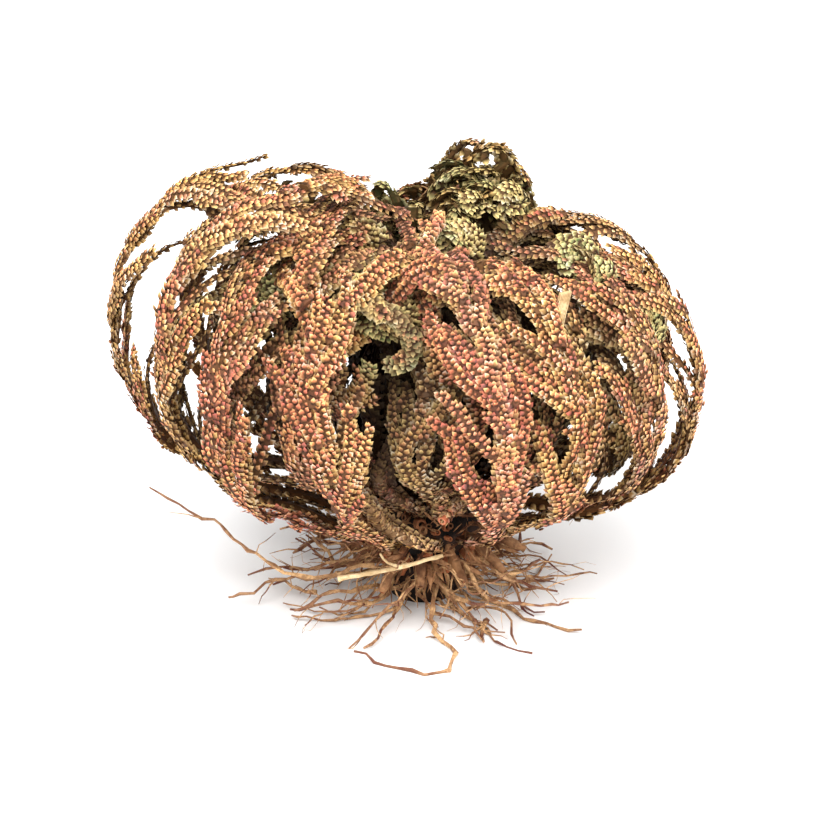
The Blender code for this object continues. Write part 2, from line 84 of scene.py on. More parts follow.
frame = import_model()
CAD_BOX = [list(corner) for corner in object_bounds()]
BODY = "root"

# The layout of the stems, as in the part's source
MM = 0.001
SEED = 11
CROWN_CENTRE = np.array([0, 0, 11.5]) * MM
CROWN_RADII = np.array([9.2, 9.2, 6.8]) * MM
STEM_RADIUS = 2.0 * MM
BRANCH_RADIUS = 1.7 * MM
FLATNESS = 0.48
TIP_SHARE = 0.52
BARE_SHARE = 0.6
BARE_LENGTH = 11 * MM
STEP = 1.6 * MM
SEAT_RUN = 3.2 * MM
LOOP_WIDTH_SHARE = 0.62
CURL_FROM = 50
CURL_PER_DEGREE = 0.0022
LOOP_KNOTS = 8
BRANCH_FIRST, BRANCH_LAST = 0.30, 0.86
BRANCH_LENGTH, BRANCH_LOSS = 24 * MM, 13 * MM
BRANCH_SPREAD = (4.0 * MM, 6.4 * MM)
BRANCH_DIP = (1.5 * MM, 5.5 * MM)
SEAT_GAP = 0.32 * MM
FROND_GAP = 0.45 * MM
SETTLE_ROUNDS = 200
SEARCH_EVERY = 9
SEARCH_MARGIN = 2.0 * MM
ROOT_COUNT = 31
ROOT_HEIGHT = (2.5 * MM, 9.5 * MM)
ROOT_LENGTH = (13 * MM, 21 * MM)
FRONT_ROOT_EXTRA = 5 * MM
ROOT_DIP = (0, 30)
ROOT_DIP_PER_MM = 1.8
ROOT_KINK = 36
ROOT_WAVER = 22
ROOT_RADIUS = 0.6 * MM
ROOT_TIP_SHARE = 0.7
ROOT_STEP = 4.2 * MM
KNOB_COUNT = 12
KNOB_RADIUS = 1.25 * MM
KNOB_LENGTH = (3.2 * MM, 6.0 * MM)
KNOB_PERCH = (-34, -20)
STRAW_RADIUS = 1.5 * MM
BALL_CENTRE = np.array([0, 0, 36.0]) * MM
# Degrees from one root, stem base or upright frond to the next around the crown
SPIRAL_TURN = 137.5

Loop = namedtuple("Loop", "azimuth reach top end lean first low pairs", defaults=(0, -45, 14, 5))
Free = namedtuple("Free", "name route branches thickness", defaults=((), 1.0))
Strand = namedtuple("Strand", "owner points radii parent fork")

OUTER = [
    Loop(180, 42, 64.5, 76, 0, -52, 16),
    Loop(200, 38, 66, 104, 7, -50, 15),
    Loop(221, 36.5, 60, 86, -3, -42),
    Loop(248, 33, 60, 92, -13, -34),
    Free("broken_frond_front", [(-5.5, -13.5, 15), (-8, -16, 19), (-10.5, -17, 23.4)], (), 1.1),
    Loop(290, 33, 58, 98, -8, -34),
    Loop(308, 34, 57, 86, -5, -36),
    Loop(330, 35, 55, 90, 2, -42),
    Loop(354, 37.3, 52, 86, 0, -76, 11.5),
    Loop(16, 35, 54, 102, 3, -50),
    Loop(42, 34, 50, 86, -3, -45),
    Loop(68, 33, 54, 94, 4, -45),
    Loop(96, 33, 52, 84, -4, -45),
    Loop(124, 34, 52, 92, 3, -45),
    Loop(152, 37, 59, 98, -3, -52, 15),
]
MIDDLE = [
    Loop(188, 36, 58, 102, -3, -40, 14, 4),
    Loop(210, 31, 54, 90, 4, -30, 14, 4),
    Loop(232, 29, 56, 106, -6, -25, 14, 4),
    Free("broken_frond_pointed", [(-6, -12.5, 21), (-7, -14, 25), (-5, -14, 28.5), (-3, -13.5, 31)]),
    Loop(268, 21, 45, 112, 5, -16, 14, 4),
    Loop(296, 28, 54, 100, -4, -25, 14, 4),
    Loop(316, 30, 53, 106, 2, -25, 14, 4),
    Loop(340, 31, 51, 94, -2, -30, 14, 4),
    Loop(6, 32, 50, 100, 3, -40, 14, 4),
    Loop(32, 29, 51, 92, -3, -30, 14, 4),
    Loop(60, 28, 52, 106, 3, -30, 14, 4),
    Loop(90, 28, 51, 94, -3, -30, 14, 4),
    Loop(122, 29, 52, 102, 3, -30, 14, 4),
    Loop(155, 31, 55, 92, -2, -30, 14, 4),
]
INNER = [
    Loop(205, 22, 50, 122, 3, -20, 14, 2),
    Free(
        "frond_front_curl",
        [
            (-8, -13, 25), (-10.5, -16, 34), (-12.3, -17, 43), (-11.5, -17.5, 49.5), (-8.3, -17.5, 53.3),
            (-4, -17.5, 52.3), (-1.6, -17.5, 48.2), (-2.2, -17.5, 43.6), (-5.2, -17.5, 43.2),
        ],
        [
            [(-10.5, -16, 34), (-8.4, -19, 38), (-7.6, -20.5, 43)],
            [(-12.3, -17, 43), (-8.6, -15, 46.5), (-5.2, -13.5, 49)],
            [(-8.3, -17.5, 53.3), (-3.5, -16, 55.6), (0.5, -15, 52.5), (1.6, -15.5, 47)],
        ],
    ),
    Free("broken_frond_side", [(4.6, -12.5, 20), (3.0, -16, 20.5), (0.8, -19, 19.2)], (), 0.95),
    Loop(280, 15, 42, 118, 4, -15, 14, 3),
    Loop(325, 21, 48, 125, -2, -20, 14, 2),
    Loop(10, 20, 48, 122, 3, -20, 14, 2),
    Free(
        "frond_top_curl",
        [
            (5, 4, 30), (6.5, 6.5, 42), (9, 7.5, 50), (9.6, 7.5, 55.5), (6.4, 7.5, 59.2), (2.6, 7, 57.3),
            (3.0, 6.4, 53.5),
        ],
        [
            [(9.0, 7.5, 50), (11.4, 7, 55), (14.0, 7, 57.6), (15.2, 7.5, 55)],
            [(6.5, 6.5, 42), (3.2, 9, 50), (2.4, 10, 56), (5.2, 10.6, 61.6), (9.4, 10, 60.2)],
            [(9.6, 7.5, 55.5), (12.4, 10, 56.6), (13.8, 9.6, 52.5), (12.6, 8.8, 48)],
            [(6.5, 6.5, 42), (4.8, 4.2, 49), (6.5, 3.4, 54.6), (10.4, 3.8, 56.6), (12.2, 4.6, 53)],
            [(6.4, 7.5, 59.2), (8.4, 7.5, 62), (11.8, 7.5, 61.2), (13.4, 7.5, 58)],
        ],
    ),
    Loop(95, 21, 49, 125, -3, -20, 14, 2),
    Loop(145, 22, 50, 120, 2, -20, 14, 2),
]
# Each ring's name, its fronds, how high on the crown they sit and the direction of the first, in degrees
RINGS = (("outer", OUTER, 2, 180), ("middle", MIDDLE, 31, 190), ("inner", INNER, 58, 205))
STRAW = Free("straw_blade", [(3, -3, 24), (10.5, -11.5, 32), (16.5, -17, 42), (18.6, -18.6, 52)])
SPECIAL_ROOTS = [
    [(-7, -6, 6.5), (-15, -9, 6.5), (-23.5, -8, 10), (-30, -7.5, 15), (-37, -7, 18.6)],
    [(1, -7, 3), (0.5, -15, 2), (3.5, -20, 0.7), (0.5, -25.5, 0.6), (-5, -24, 0.6), (-9.5, -21.5, 1.4)],
]


def unit(vectors):
    """The same vector or rows of vectors, one long."""
    return vectors / np.maximum(np.linalg.norm(vectors, axis=-1, keepdims=True), 1e-12)


def horizontal(degrees):
    return np.array([math.cos(math.radians(degrees)), math.sin(math.radians(degrees)), 0.0])


def crown_seat(azimuth, perch):
    """(point on the crown, outward normal) at this direction, with perch 0 at its side and 90 on top."""
    level, rise = math.cos(math.radians(perch)), math.sin(math.radians(perch))
    point = CROWN_RADII * (horizontal(azimuth) * level + np.array([0, 0, rise]))
    return CROWN_CENTRE + point, unit(point / CROWN_RADII**2)


def smooth_through(knots, samples=12):
    """A centripetal Catmull-Rom curve through the knots, as many points."""
    knots = np.asarray(knots)
    padded = np.vstack([2 * knots[0] - knots[1], knots, 2 * knots[-1] - knots[-2]])
    spans = np.sqrt(np.linalg.norm(np.diff(padded, axis=0), axis=1))[:, None]
    slopes = np.diff(padded, axis=0) / spans
    through = (padded[2:] - padded[:-2]) / (spans[1:] + spans[:-1])
    tangents = slopes[:-1] - through + slopes[1:]
    share = np.linspace(0, 1, samples, endpoint=False)[:, None]
    pieces = []
    for start, stop, leave, arrive, span in zip(knots, knots[1:], tangents, tangents[1:], spans[1:]):
        pieces.append(
            (2 * share**3 - 3 * share**2 + 1) * start
            + (share**3 - 2 * share**2 + share) * span * leave
            + (3 * share**2 - 2 * share**3) * stop
            + (share**3 - share**2) * span * arrive
        )
    return np.vstack([*pieces, knots[-1:]])


def distances(points):
    """How far along the line each of its points lies."""
    return np.concatenate([[0], np.cumsum(np.linalg.norm(np.diff(points, axis=0), axis=1))])


def at_distances(points, along, wanted):
    """The places on the line at the wanted distances."""
    return np.stack([np.interp(wanted, along, points[:, k]) for k in range(3)], axis=1)


def between(values, low, part):
    """The values at this part of the way from each low point to the next."""
    return values[low] * (1 - part) + values[low + 1] * part


def resampled(points, pitch):
    """The same line with its points evenly spaced, about this far apart."""
    along = distances(points)
    count = max(3, round(along[-1] / pitch) + 1)
    return at_distances(points, along, np.linspace(0, along[-1], count))


def loop_route(loop, seat, normal):
    """The main stem of a looping frond, from its seat on the crown to its tip."""
    out, side = horizontal(loop.azimuth), horizontal(loop.azimuth + 90)
    low = max(loop.low * MM, seat[2])
    half_height = (loop.top * MM - low) / 2
    half_width = min(half_height, loop.reach * MM * LOOP_WIDTH_SHARE)
    centre = loop.reach * MM - half_width
    knots = [seat + normal * SEAT_GAP, seat + normal * SEAT_RUN]
    for turn in np.linspace(loop.first, loop.end, LOOP_KNOTS):
        done = (turn - loop.first) / (loop.end - loop.first)
        tighten = 1 - CURL_PER_DEGREE * max(0, turn - CURL_FROM)
        across = centre + half_width * tighten * math.cos(math.radians(turn))
        height = low + half_height * (1 + tighten * math.sin(math.radians(turn)))
        knots.append(out * across + side * loop.lean * MM * done**1.6 + np.array([0, 0, height]))
    return resampled(smooth_through(knots), STEP)


def free_route(points, seat, normal):
    knots = [seat + normal * SEAT_GAP, seat + normal * 2.4 * MM, *(np.array(points) * MM)]
    return resampled(smooth_through(knots), STEP)


def frames(points, calm=0):
    """Tangent, outward normal and side direction at each point of a stem. calm: over how many
    neighbours the outward normal is evened out, so that it doesn't flip where the stem points outwards."""
    tangent = unit(np.gradient(points, axis=0))
    outward = points - BALL_CENTRE
    outward = outward - (outward * tangent).sum(1)[:, None] * tangent
    if calm:
        weights = np.hanning(2 * calm + 3)[1:-1]
        padded = np.vstack([outward[:1]] * calm + [outward] + [outward[-1:]] * calm)
        outward = np.stack([np.convolve(padded[:, k], weights, "valid") for k in range(3)], axis=1)
        outward = outward - (outward * tangent).sum(1)[:, None] * tangent
    outward = unit(outward)
    return tangent, outward, np.cross(tangent, outward)


def branch_route(stem, start, length, side, spread, dip):
    """A side branch that leaves the stem at a sharp angle, runs on beside it and dips inwards."""
    tangent, outward, across = frames(stem)
    share = np.linspace(0, 1, max(3, round(length / STEP) + 1))
    place = start + share * length / STEP
    index = np.minimum(place, len(stem) - 1)
    low = np.minimum(index.astype(int), len(stem) - 2)
    part = (index - low)[:, None]

    def at(values):
        return between(values, low, part)

    beyond = (place - index)[:, None] * STEP
    away = spread * (1 - (1 - share) ** 1.7)[:, None]
    inwards = dip * (share**1.8)[:, None]
    return at(stem) + at(tangent) * beyond + at(across) * side * away - at(outward) * inwards


def tapered(points, radius, tip_share=TIP_SHARE, bare_share=1.0):
    """Half widths along a strand: narrower at the tip, and where the bare base has lost its leaves."""
    share = np.linspace(0, 1, len(points))
    leafy = np.minimum(1, bare_share + (1 - bare_share) * share * len(points) * STEP / BARE_LENGTH)
    return radius * (1 - (1 - tip_share) * share**2.2) * leafy


def loop_strands(name, loop, seat, normal, chance):
    stem = loop_route(loop, seat, normal)
    strands = [Strand(name, stem, tapered(stem, STEM_RADIUS, TIP_SHARE, BARE_SHARE), None, 0)]
    side = chance.choice([-1, 1])
    for k in range(loop.pairs):
        step = (k + chance.uniform(-0.15, 0.15)) / max(1, loop.pairs - 1)
        share = BRANCH_FIRST + (BRANCH_LAST - BRANCH_FIRST) * step
        start = int(share * len(stem))
        length = BRANCH_LENGTH - BRANCH_LOSS * share + chance.uniform(-2, 2) * MM
        spread = chance.uniform(*BRANCH_SPREAD)
        dip = chance.uniform(*BRANCH_DIP)
        route = branch_route(stem, start, length, side, spread, dip)
        strands.append(Strand(name, route, tapered(route, BRANCH_RADIUS), 0, start))
        side = -side
    return strands


def free_strands(free, seat, normal, radius=STEM_RADIUS):
    stem = free_route(free.route, seat, normal)
    radii = tapered(stem, radius * free.thickness, 0.7, BARE_SHARE)
    strands = [Strand(free.name, stem, radii, None, 0)]
    for points in free.branches:
        route = resampled(smooth_through(np.array(points) * MM), STEP)
        fork = int(np.argmin(np.linalg.norm(stem - route[0], axis=1)))
        route[0] = stem[fork]
        strands.append(Strand(free.name, route, tapered(route, BRANCH_RADIUS), 0, fork))
    return strands


def root_route(azimuth, dip, length, start_height, chance):
    """A wiry root: it leaves the crown or stump, kinks, sinks to the floor and runs on along it."""
    heading = azimuth
    radius = 2.4 * MM + 0.3 * start_height
    point = horizontal(azimuth) * radius + np.array([0, 0, start_height])
    points = [point]
    for k in range(max(3, round(length / ROOT_STEP))):
        heading += chance.uniform(-ROOT_KINK, ROOT_KINK)
        slope = math.radians(-dip + chance.uniform(-ROOT_WAVER, ROOT_WAVER) + 5 * k)
        step = horizontal(heading) * math.cos(slope) + np.array([0, 0, math.sin(slope)])
        point = point + step * ROOT_STEP
        point[2] = max(point[2], 1.15 * ROOT_RADIUS)
        points.append(point)
    return np.array(points)


def root_strands(chance):
    strands = []
    for k in range(ROOT_COUNT):
        azimuth = k * SPIRAL_TURN + chance.uniform(-12, 12)
        start_height = chance.uniform(*ROOT_HEIGHT)
        front = 0.5 - 0.5 * math.sin(math.radians(azimuth))
        length = chance.uniform(*ROOT_LENGTH) + FRONT_ROOT_EXTRA * front
        dip = chance.uniform(*ROOT_DIP) + ROOT_DIP_PER_MM * start_height / MM
        route = root_route(azimuth, dip, length, start_height, chance)
        strands.append(Strand("rootstock", route, tapered(route, ROOT_RADIUS, ROOT_TIP_SHARE), None, 0))
        if k % 3 == 0:
            fork = len(route) // 2
            turned = azimuth + chance.choice([-1, 1]) * chance.uniform(30, 60)
            step = horizontal(turned) * 0.85 + np.array([0, 0, chance.uniform(-0.5, 0.3)])
            side = route[fork] + np.outer(np.arange(3) * ROOT_STEP * 0.9, step)
            side[:, 2] = np.maximum(side[:, 2], 1.15 * ROOT_RADIUS)
            radii = tapered(side, 0.85 * ROOT_RADIUS, 0.8)
            strands.append(Strand("rootstock", side, radii, len(strands) - 1, fork))
    for knots in SPECIAL_ROOTS:
        route = resampled(np.array(knots) * MM, ROOT_STEP)
        strands.append(Strand("rootstock", route, tapered(route, ROOT_RADIUS, ROOT_TIP_SHARE), None, 0))
    return strands


def knob_strands(chance):
    """The short dead stem bases between the fronds and the roots."""
    strands = []
    for k in range(KNOB_COUNT):
        azimuth = 360 * (k + chance.uniform(-0.25, 0.25)) / KNOB_COUNT
        seat, normal = crown_seat(azimuth, chance.uniform(*KNOB_PERCH))
        length = chance.uniform(*KNOB_LENGTH)
        route = [seat - normal * 2 * MM, seat + normal * 0.5 * length, seat + normal * length]
        route[2] = route[2] + np.array([0, 0, chance.uniform(-0.5, 0.8)]) * MM
        strands.append(Strand("rootstock", np.array(route), np.array([1, 0.9, 0.65]) * KNOB_RADIUS, None, 0))
    return strands


def grown_strands():
    """Every strand of the plant where it would grow with no neighbours."""
    chance = random.Random(SEED)
    groups = []
    for row, entries, perch, turned in RINGS:
        for k, entry in enumerate(entries):
            seat, normal = crown_seat(turned + 360 * k / len(entries), perch)
            if isinstance(entry, Loop):
                groups.append(loop_strands(f"frond_{row}_{k + 1:02d}", entry, seat, normal, chance))
            else:
                groups.append(free_strands(entry, seat, normal))
    groups.append(free_strands(STRAW, *crown_seat(300, 84), STRAW_RADIUS))
    groups.append(root_strands(chance))
    groups.append(knob_strands(chance))
    strands = []
    for group in groups:
        first = len(strands)
        for strand in group:
            parent = None if strand.parent is None else first + strand.parent
            strands.append(strand._replace(parent=parent))
    return strands


def close_pairs(points, radius, owner, margin):
    """Pairs of points of different objects that are nearer than their radii and this margin."""
    away = np.zeros((len(points), len(points)))
    for axis in range(3):
        away += (points[:, None, axis] - points[None, :, axis]) ** 2
    reach = radius[:, None] + radius[None, :] + margin
    near = (away < reach**2) & (owner[:, None] != owner[None, :])
    first, second = np.nonzero(np.triu(near))
    return first, second


def crowding(points, radius, first, second):
    """(separation, how far it falls short) of each pair, by width side by side and by thickness in depth."""
    apart = points[first] - points[second]
    radial = points[first] + points[second] - 2 * BALL_CENTRE
    radial /= np.linalg.norm(radial, axis=1)[:, None]
    depth = np.abs((apart * radial).sum(1))
    level = np.sqrt(np.maximum(0, (apart**2).sum(1) - depth**2))
    both = radius[first] + radius[second]
    share = np.hypot(level / (both + FROND_GAP), depth / (FLATNESS * both + FROND_GAP))
    return apart, np.maximum(0, 1 / np.maximum(share, 0.1) - 1)


@lru_cache
def settled():
    """The strands of the whole plant, moved apart until none overlaps a strand of another object."""
    strands = grown_strands()
    starts = np.cumsum([0] + [len(s.points) for s in strands])
    points = np.vstack([s.points for s in strands])
    radius = np.concatenate([s.radii for s in strands])
    names = sorted({s.owner for s in strands})
    owner = np.concatenate([np.full(len(s.points), names.index(s.owner)) for s in strands])
    before, after = np.arange(len(points)) - 1, np.arange(len(points)) + 1
    free = np.ones(len(points))
    for strand, start, stop in zip(strands, starts, starts[1:]):
        after[stop - 1] = stop - 1
        if strand.parent is None:
            before[start] = start
            free[start : start + 2] = 0
            free[start + 2] = 0.5
        else:
            before[start] = starts[strand.parent] + strand.fork
    grown, moved = points.copy(), np.zeros_like(points)
    for turn in range(SETTLE_ROUNDS):
        if turn % SEARCH_EVERY == 0:
            first, second = close_pairs(points, radius, owner, FROND_GAP + SEARCH_MARGIN)
        apart, short = crowding(points, radius, first, second)
        push = apart * np.minimum(short, 0.5)[:, None] * 0.5
        shift, touches = np.zeros_like(points), np.ones(len(points))
        for index, way in ((first, 1), (second, -1)):
            np.add.at(shift, index, way * push)
            np.add.at(touches, index, short > 0)
        moved += 1.5 * shift / touches[:, None] * free[:, None]
        sunk = (grown + moved - CROWN_CENTRE) / (CROWN_RADII + radius[:, None] + SEAT_GAP)
        depth = np.linalg.norm(sunk, axis=1)
        inside = (depth < 1) & (free > 0) & (owner != names.index("rootstock"))
        moved[inside] += ((sunk / depth[:, None]) * (1 - depth[:, None]) * CROWN_RADII)[inside]
        blend = 0.5 if turn < SETTLE_ROUNDS - 40 else 0.15
        smooth = 0.5 * (moved[before] + moved[after])
        moved = ((1 - blend) * moved + blend * smooth) * np.minimum(1, 2 * free)[:, None]
        points = grown + moved
        points[:, 2] = np.maximum(points[:, 2], 1.15 * radius)
    result = []
    for strand, start, stop in zip(strands, starts, starts[1:]):
        route = points[start:stop].copy()
        if strand.parent is not None:
            route[0] = points[starts[strand.parent] + strand.fork]
        result.append(strand._replace(points=route))
    return result


# Shapes that repeat, modelled once
# A model is its corners, its triangles, and for each corner how near it is to the rim or the cut end.
Model = namedtuple("Model", "corners triangles rim")
LEAF_SIDES = 5
STUB_SIDES = 8


def begin_edit():
    """Open the object that was just added for modelling, with nothing selected."""
    bpy.ops.object.mode_set(mode="EDIT")
    bpy.ops.mesh.select_mode(type="VERT")
    bpy.ops.mesh.select_all(action="DESELECT")
    bpy.ops.object.mode_set(mode="OBJECT")


def choose(shape, test):
    """Select the corners of the shape whose place passes the test."""
    bpy.ops.object.mode_set(mode="EDIT")
    bpy.ops.mesh.select_all(action="DESELECT")
    bpy.ops.object.mode_set(mode="OBJECT")
    for corner in shape.data.vertices:
        corner.select = bool(test(corner.co))
    bpy.ops.object.mode_set(mode="EDIT")


def taken(shape, rim_of):
    """The finished shape as a model, and its object deleted."""
    bpy.ops.object.mode_set(mode="EDIT")
    bpy.ops.mesh.select_all(action="SELECT")
    bpy.ops.mesh.quads_convert_to_tris()
    bpy.ops.object.mode_set(mode="OBJECT")
    corners = np.array([tuple(vertex.co) for vertex in shape.data.vertices])
    triangles = np.array([tuple(face.vertices) for face in shape.data.polygons])
    bpy.data.objects.remove(shape)
    return Model(corners, triangles, np.array([rim_of(corner) for corner in corners]))


@lru_cache
def scale_leaf():
    """One scale leaf, one long and one wide, from its base at the origin to its blunt tip along Y: arched
    on top, nearly flat below, with its sides drawn in at the base."""
    bpy.ops.object.select_all(action="DESELECT")
    bpy.ops.mesh.primitive_cone_add(
        vertices=LEAF_SIDES, radius1=0.5, radius2=0, depth=0.15, end_fill_type="NGON", location=(0, 0, 0)
    )
    leaf = bpy.context.object
    begin_edit()
    choose(leaf, lambda place: True)
    bpy.ops.transform.translate(value=(0, 0.45, 0.075))
    choose(leaf, lambda place: place.z > 0.1)
    bpy.ops.transform.translate(value=(0, -0.05, 0.01))
    choose(leaf, lambda place: place.z < 0.01 and place.y > 0.9)
    bpy.ops.transform.translate(value=(0, 0.12, -0.02))
    return taken(leaf, lambda place: float(math.hypot(place[0], place[1] - 0.45) > 0.3))


@lru_cache
def hollow_stub():
    """One broken stem base, one long and one in radius, along Z: slightly waisted, with a hollow cut end."""
    bpy.ops.object.select_all(action="DESELECT")
    bpy.ops.mesh.primitive_cylinder_add(vertices=STUB_SIDES, radius=1, depth=1, location=(0, 0, 0.5))
    stub = bpy.context.object
    begin_edit()
    bpy.ops.object.mode_set(mode="EDIT")
    bpy.ops.mesh.select_mode(type="FACE")
    bpy.ops.object.mode_set(mode="OBJECT")
    for face in stub.data.polygons:
        face.select = face.normal.z > 0.9
    bpy.ops.object.mode_set(mode="EDIT")
    bpy.ops.mesh.inset(thickness=0.38, depth=0.02)
    bpy.ops.mesh.extrude_region_move(TRANSFORM_OT_translate={"value": (0, 0, -0.42)})
    bpy.ops.transform.resize(value=(0.7, 0.7, 1))
    bpy.ops.mesh.select_mode(type="VERT")
    bpy.ops.object.mode_set(mode="OBJECT")
    choose(stub, lambda place: place.z < 0.01)
    bpy.ops.transform.resize(value=(1.15, 1.15, 1))
    return taken(stub, lambda place: float(place[2] > 0.4))


# Meshes from models and lines

# The ball's middle and half sizes, to tell what lies deep inside it, where painted shade darkens the leaves
BALL_MIDDLE = np.array([-2.4, 0, 36]) * MM
BALL_HALF = np.array([40, 33, 28.5]) * MM


class Heap:
    """Triangles gathered for one mesh. Each corner carries two colours' worth of facts: in `leaf` how near
    the rim it is, how far along its leaf, the leaf's own tone; in `tint` how red, green and old it is. In
    `side` it carries how near its leaf is to the side of its stem, where painted shade darkens it;
    contrast: how strong that painted shade is."""

    def __init__(self, contrast=1.0):
        self.contrast = contrast
        self.corners, self.triangles, self.leaf, self.tint, self.side, self.count = [], [], [], [], [], 0

    def add(self, corners, triangles, leaf, tint, side=0.0):
        self.corners.append(corners)
        self.triangles.append(triangles + self.count)
        self.leaf.append(np.broadcast_to(leaf, (len(corners), 3)))
        self.tint.append(np.broadcast_to(tint, (len(corners), 3)))
        self.side.append(np.broadcast_to(side, len(corners)))
        self.count += len(corners)

    def stamp(self, model, places, axes, sizes, tones, tints, warp=0.0, side=0.0):
        """Copies of a model. axes: for each copy its three directions; sizes: its size along each."""
        shape = model.corners[None] * sizes[:, None, :]
        bend = warp * (model.corners[:, 1] ** 2)[None, :, None]
        shape = shape + np.array([0, 0, 1]) * bend * sizes[:, None, 1:2]
        corners = places[:, None] + np.einsum("kvi,kij->kvj", shape, axes)
        copies, size = len(places), len(model.corners)
        triangles = (model.triangles[None] + np.arange(copies)[:, None, None] * size).reshape(-1, 3)
        leaf = np.empty((copies, size, 3))
        leaf[:, :, 0] = model.rim
        leaf[:, :, 1] = model.corners[:, 1]
        leaf[:, :, 2] = tones[:, None]
        tint = np.repeat(tints[:, None], size, axis=1)
        self.add(corners.reshape(-1, 3), triangles, leaf.reshape(-1, 3), tint.reshape(-1, 3), side)

    def tube(
        self, points, outward, across, half_width, half_depth, tone, tint, sides=6, hollow=0.0, along=None
    ):
        """A closed tube of an oval section through the points. hollow: depth of the hollow at its end.
        along: what its corners carry for their place along it, if not their own."""
        turn = np.linspace(0, 2 * math.pi, sides, endpoint=False)
        width, depth = np.asarray(half_width)[:, None, None], np.asarray(half_depth)[:, None, None]
        section = across[:, None] * width * np.cos(turn)[None, :, None]
        section = section + outward[:, None] * depth * np.sin(turn)[None, :, None]
        rings = points[:, None] + section
        run = list(np.linspace(0, 1, len(rings)))
        rim = [0.0] * len(rings)
        if hollow:
            back = unit(points[-2] - points[-1]) * hollow
            for share, sink in ((0.62, 0.0), (0.5, 1.0)):
                rings = np.concatenate([rings, (points[-1] + section[-1] * share + back * sink)[None]])
                run.append(1.0)
                rim.append(1.0)
        count = len(rings)
        corners = np.concatenate([rings.reshape(-1, 3), rings[0].mean(0)[None], rings[-1].mean(0)[None]])
        triangles = []
        for k in range(sides):
            nearby = (k + 1) % sides
            ring = np.arange(count - 1)[:, None] * sides
            triangles.append(ring + [k, k + sides, nearby])
            triangles.append(ring + [nearby, k + sides, nearby + sides])
            triangles.append([[k, nearby, count * sides]])
            triangles.append([[(count - 1) * sides + nearby, (count - 1) * sides + k, count * sides + 1]])
        leaf = np.empty((len(corners), 3))
        leaf[:, 0] = np.concatenate([np.repeat(rim, sides), [0.0, rim[-1]]])
        leaf[:, 1] = np.concatenate([np.repeat(run, sides), [0.0, 1.0]]) if along is None else along
        leaf[:, 2] = tone
        if np.ndim(tint) == 2:
            tint = np.vstack([tint] + [tint[-1:]] * (count - len(tint)))
            tint = np.vstack([np.repeat(tint, sides, axis=0), tint[:1], tint[-1:]])
        self.add(corners, np.concatenate(triangles), leaf, tint)

    def piece(self, name, finish, slot, node, sharp=20, shade=1.0):
        """The mesh as a finished piece that rides on the body and stands for its node. shade: how strongly
        painted shade darkens it towards the middle of the ball."""
        corners = np.clip(np.concatenate(self.corners), *np.array(CAD_BOX))
        triangles = np.concatenate(self.triangles).astype(np.int32)
        # Painted shade: how deep each corner lies in the ball, kept in the alpha of `leaf` and darkened by the
        # scale material
        inside = shade * (1 - np.linalg.norm((corners - BALL_MIDDLE) / BALL_HALF, axis=1))
        mesh = bpy.data.meshes.new(name)
        mesh.vertices.add(len(corners))
        mesh.vertices.foreach_set("co", corners.astype(np.float32).ravel())
        mesh.loops.add(triangles.size)
        mesh.loops.foreach_set("vertex_index", triangles.ravel())
        mesh.polygons.add(len(triangles))
        mesh.polygons.foreach_set("loop_start", np.arange(0, triangles.size, 3, dtype=np.int32))
        mesh.update(calc_edges=True)
        beside = np.concatenate(self.side)
        for title, values, last in (("leaf", self.leaf, inside), ("tint", self.tint, beside)):
            facts = np.ones((len(corners), 4), dtype=np.float32)
            facts[:, :3] = np.concatenate(values)
            facts[:, 3] = last
            mesh.attributes.new(title, "FLOAT_COLOR", "POINT").data.foreach_set("color", facts.ravel())
        mesh.shade_smooth()
        mesh.set_sharp_from_angle(angle=math.radians(sharp))
        mesh.materials.append(finish)
        made = bpy.data.objects.new(name, mesh)
        bpy.context.scene.collection.objects.link(made)
        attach(made, BODY)
        if node:
            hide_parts(node)
        return made


def line_at(strand, pitch, samples=8):
    """A strand as an even line of this pitch: points, tangents, outward and side directions, half widths."""
    dense = smooth_through(strand.points, samples)
    wide = np.interp(np.linspace(0, 1, len(dense)), np.linspace(0, 1, len(strand.radii)), strand.radii)
    along = distances(dense)
    wanted = np.linspace(0, along[-1], max(4, round(along[-1] / pitch) + 1))
    points = at_distances(dense, along, wanted)
    calm = max(1, round(3.5 * MM / pitch))
    return (points, *frames(points, calm), np.interp(wanted, along, wide), along[-1])


# Scale leaves
# One row of leaves along a stem: where its bases stand, sideways and outwards in half widths, how far its
# leaves face sideways, how far they spread from the stem's direction, their size, where in the pitch they
# stand, and how dull they are
Row = namedtuple("Row", "aside out facing splay size phase dull")
ROWS = [
    Row(0.56, 0.06, 30, 50, 1.00, 0.00, 0.0),
    Row(-0.56, 0.06, -30, -50, 1.00, 0.50, 0.0),
    Row(0.32, 0.24, 16, 44, 0.95, 0.25, 0.0),
    Row(-0.32, 0.24, -16, -44, 0.95, 0.75, 0.0),
    Row(0.10, 0.32, 6, 26, 0.85, 0.50, 0.0),
    Row(-0.10, 0.32, -6, -26, 0.85, 0.00, 0.0),
    Row(0.40, -0.22, 155, 30, 1.15, 0.10, 0.5),
    Row(-0.40, -0.22, -155, -30, 1.15, 0.60, 0.5),
]
UPPER_ROWS = ROWS[:6]
THIN_ROWS = [
    Row(0.44, 0.10, 30, 50, 1.00, 0.00, 0.0),
    Row(-0.44, 0.10, -30, -50, 1.00, 0.50, 0.0),
    Row(0.16, 0.34, 10, 32, 0.90, 0.30, 0.0),
    Row(-0.16, 0.34, -10, -32, 0.90, 0.80, 0.0),
    Row(0.38, -0.25, 150, 30, 1.15, 0.10, 0.4),
    Row(-0.38, -0.25, -150, -30, 1.15, 0.60, 0.4),
]
SLIM_ROWS = THIN_ROWS[:4]
SLIM = 0.84
# What the core of a strand carries for its place along a leaf: near black, the painted shade of a covered leaf
# base
CORE_ALONG = 0.3
WANDER = 0.55 * MM
# How far inside the box of the solids the middle line of a clothed strand stays
BOX_MARGIN = 0.85 * MM


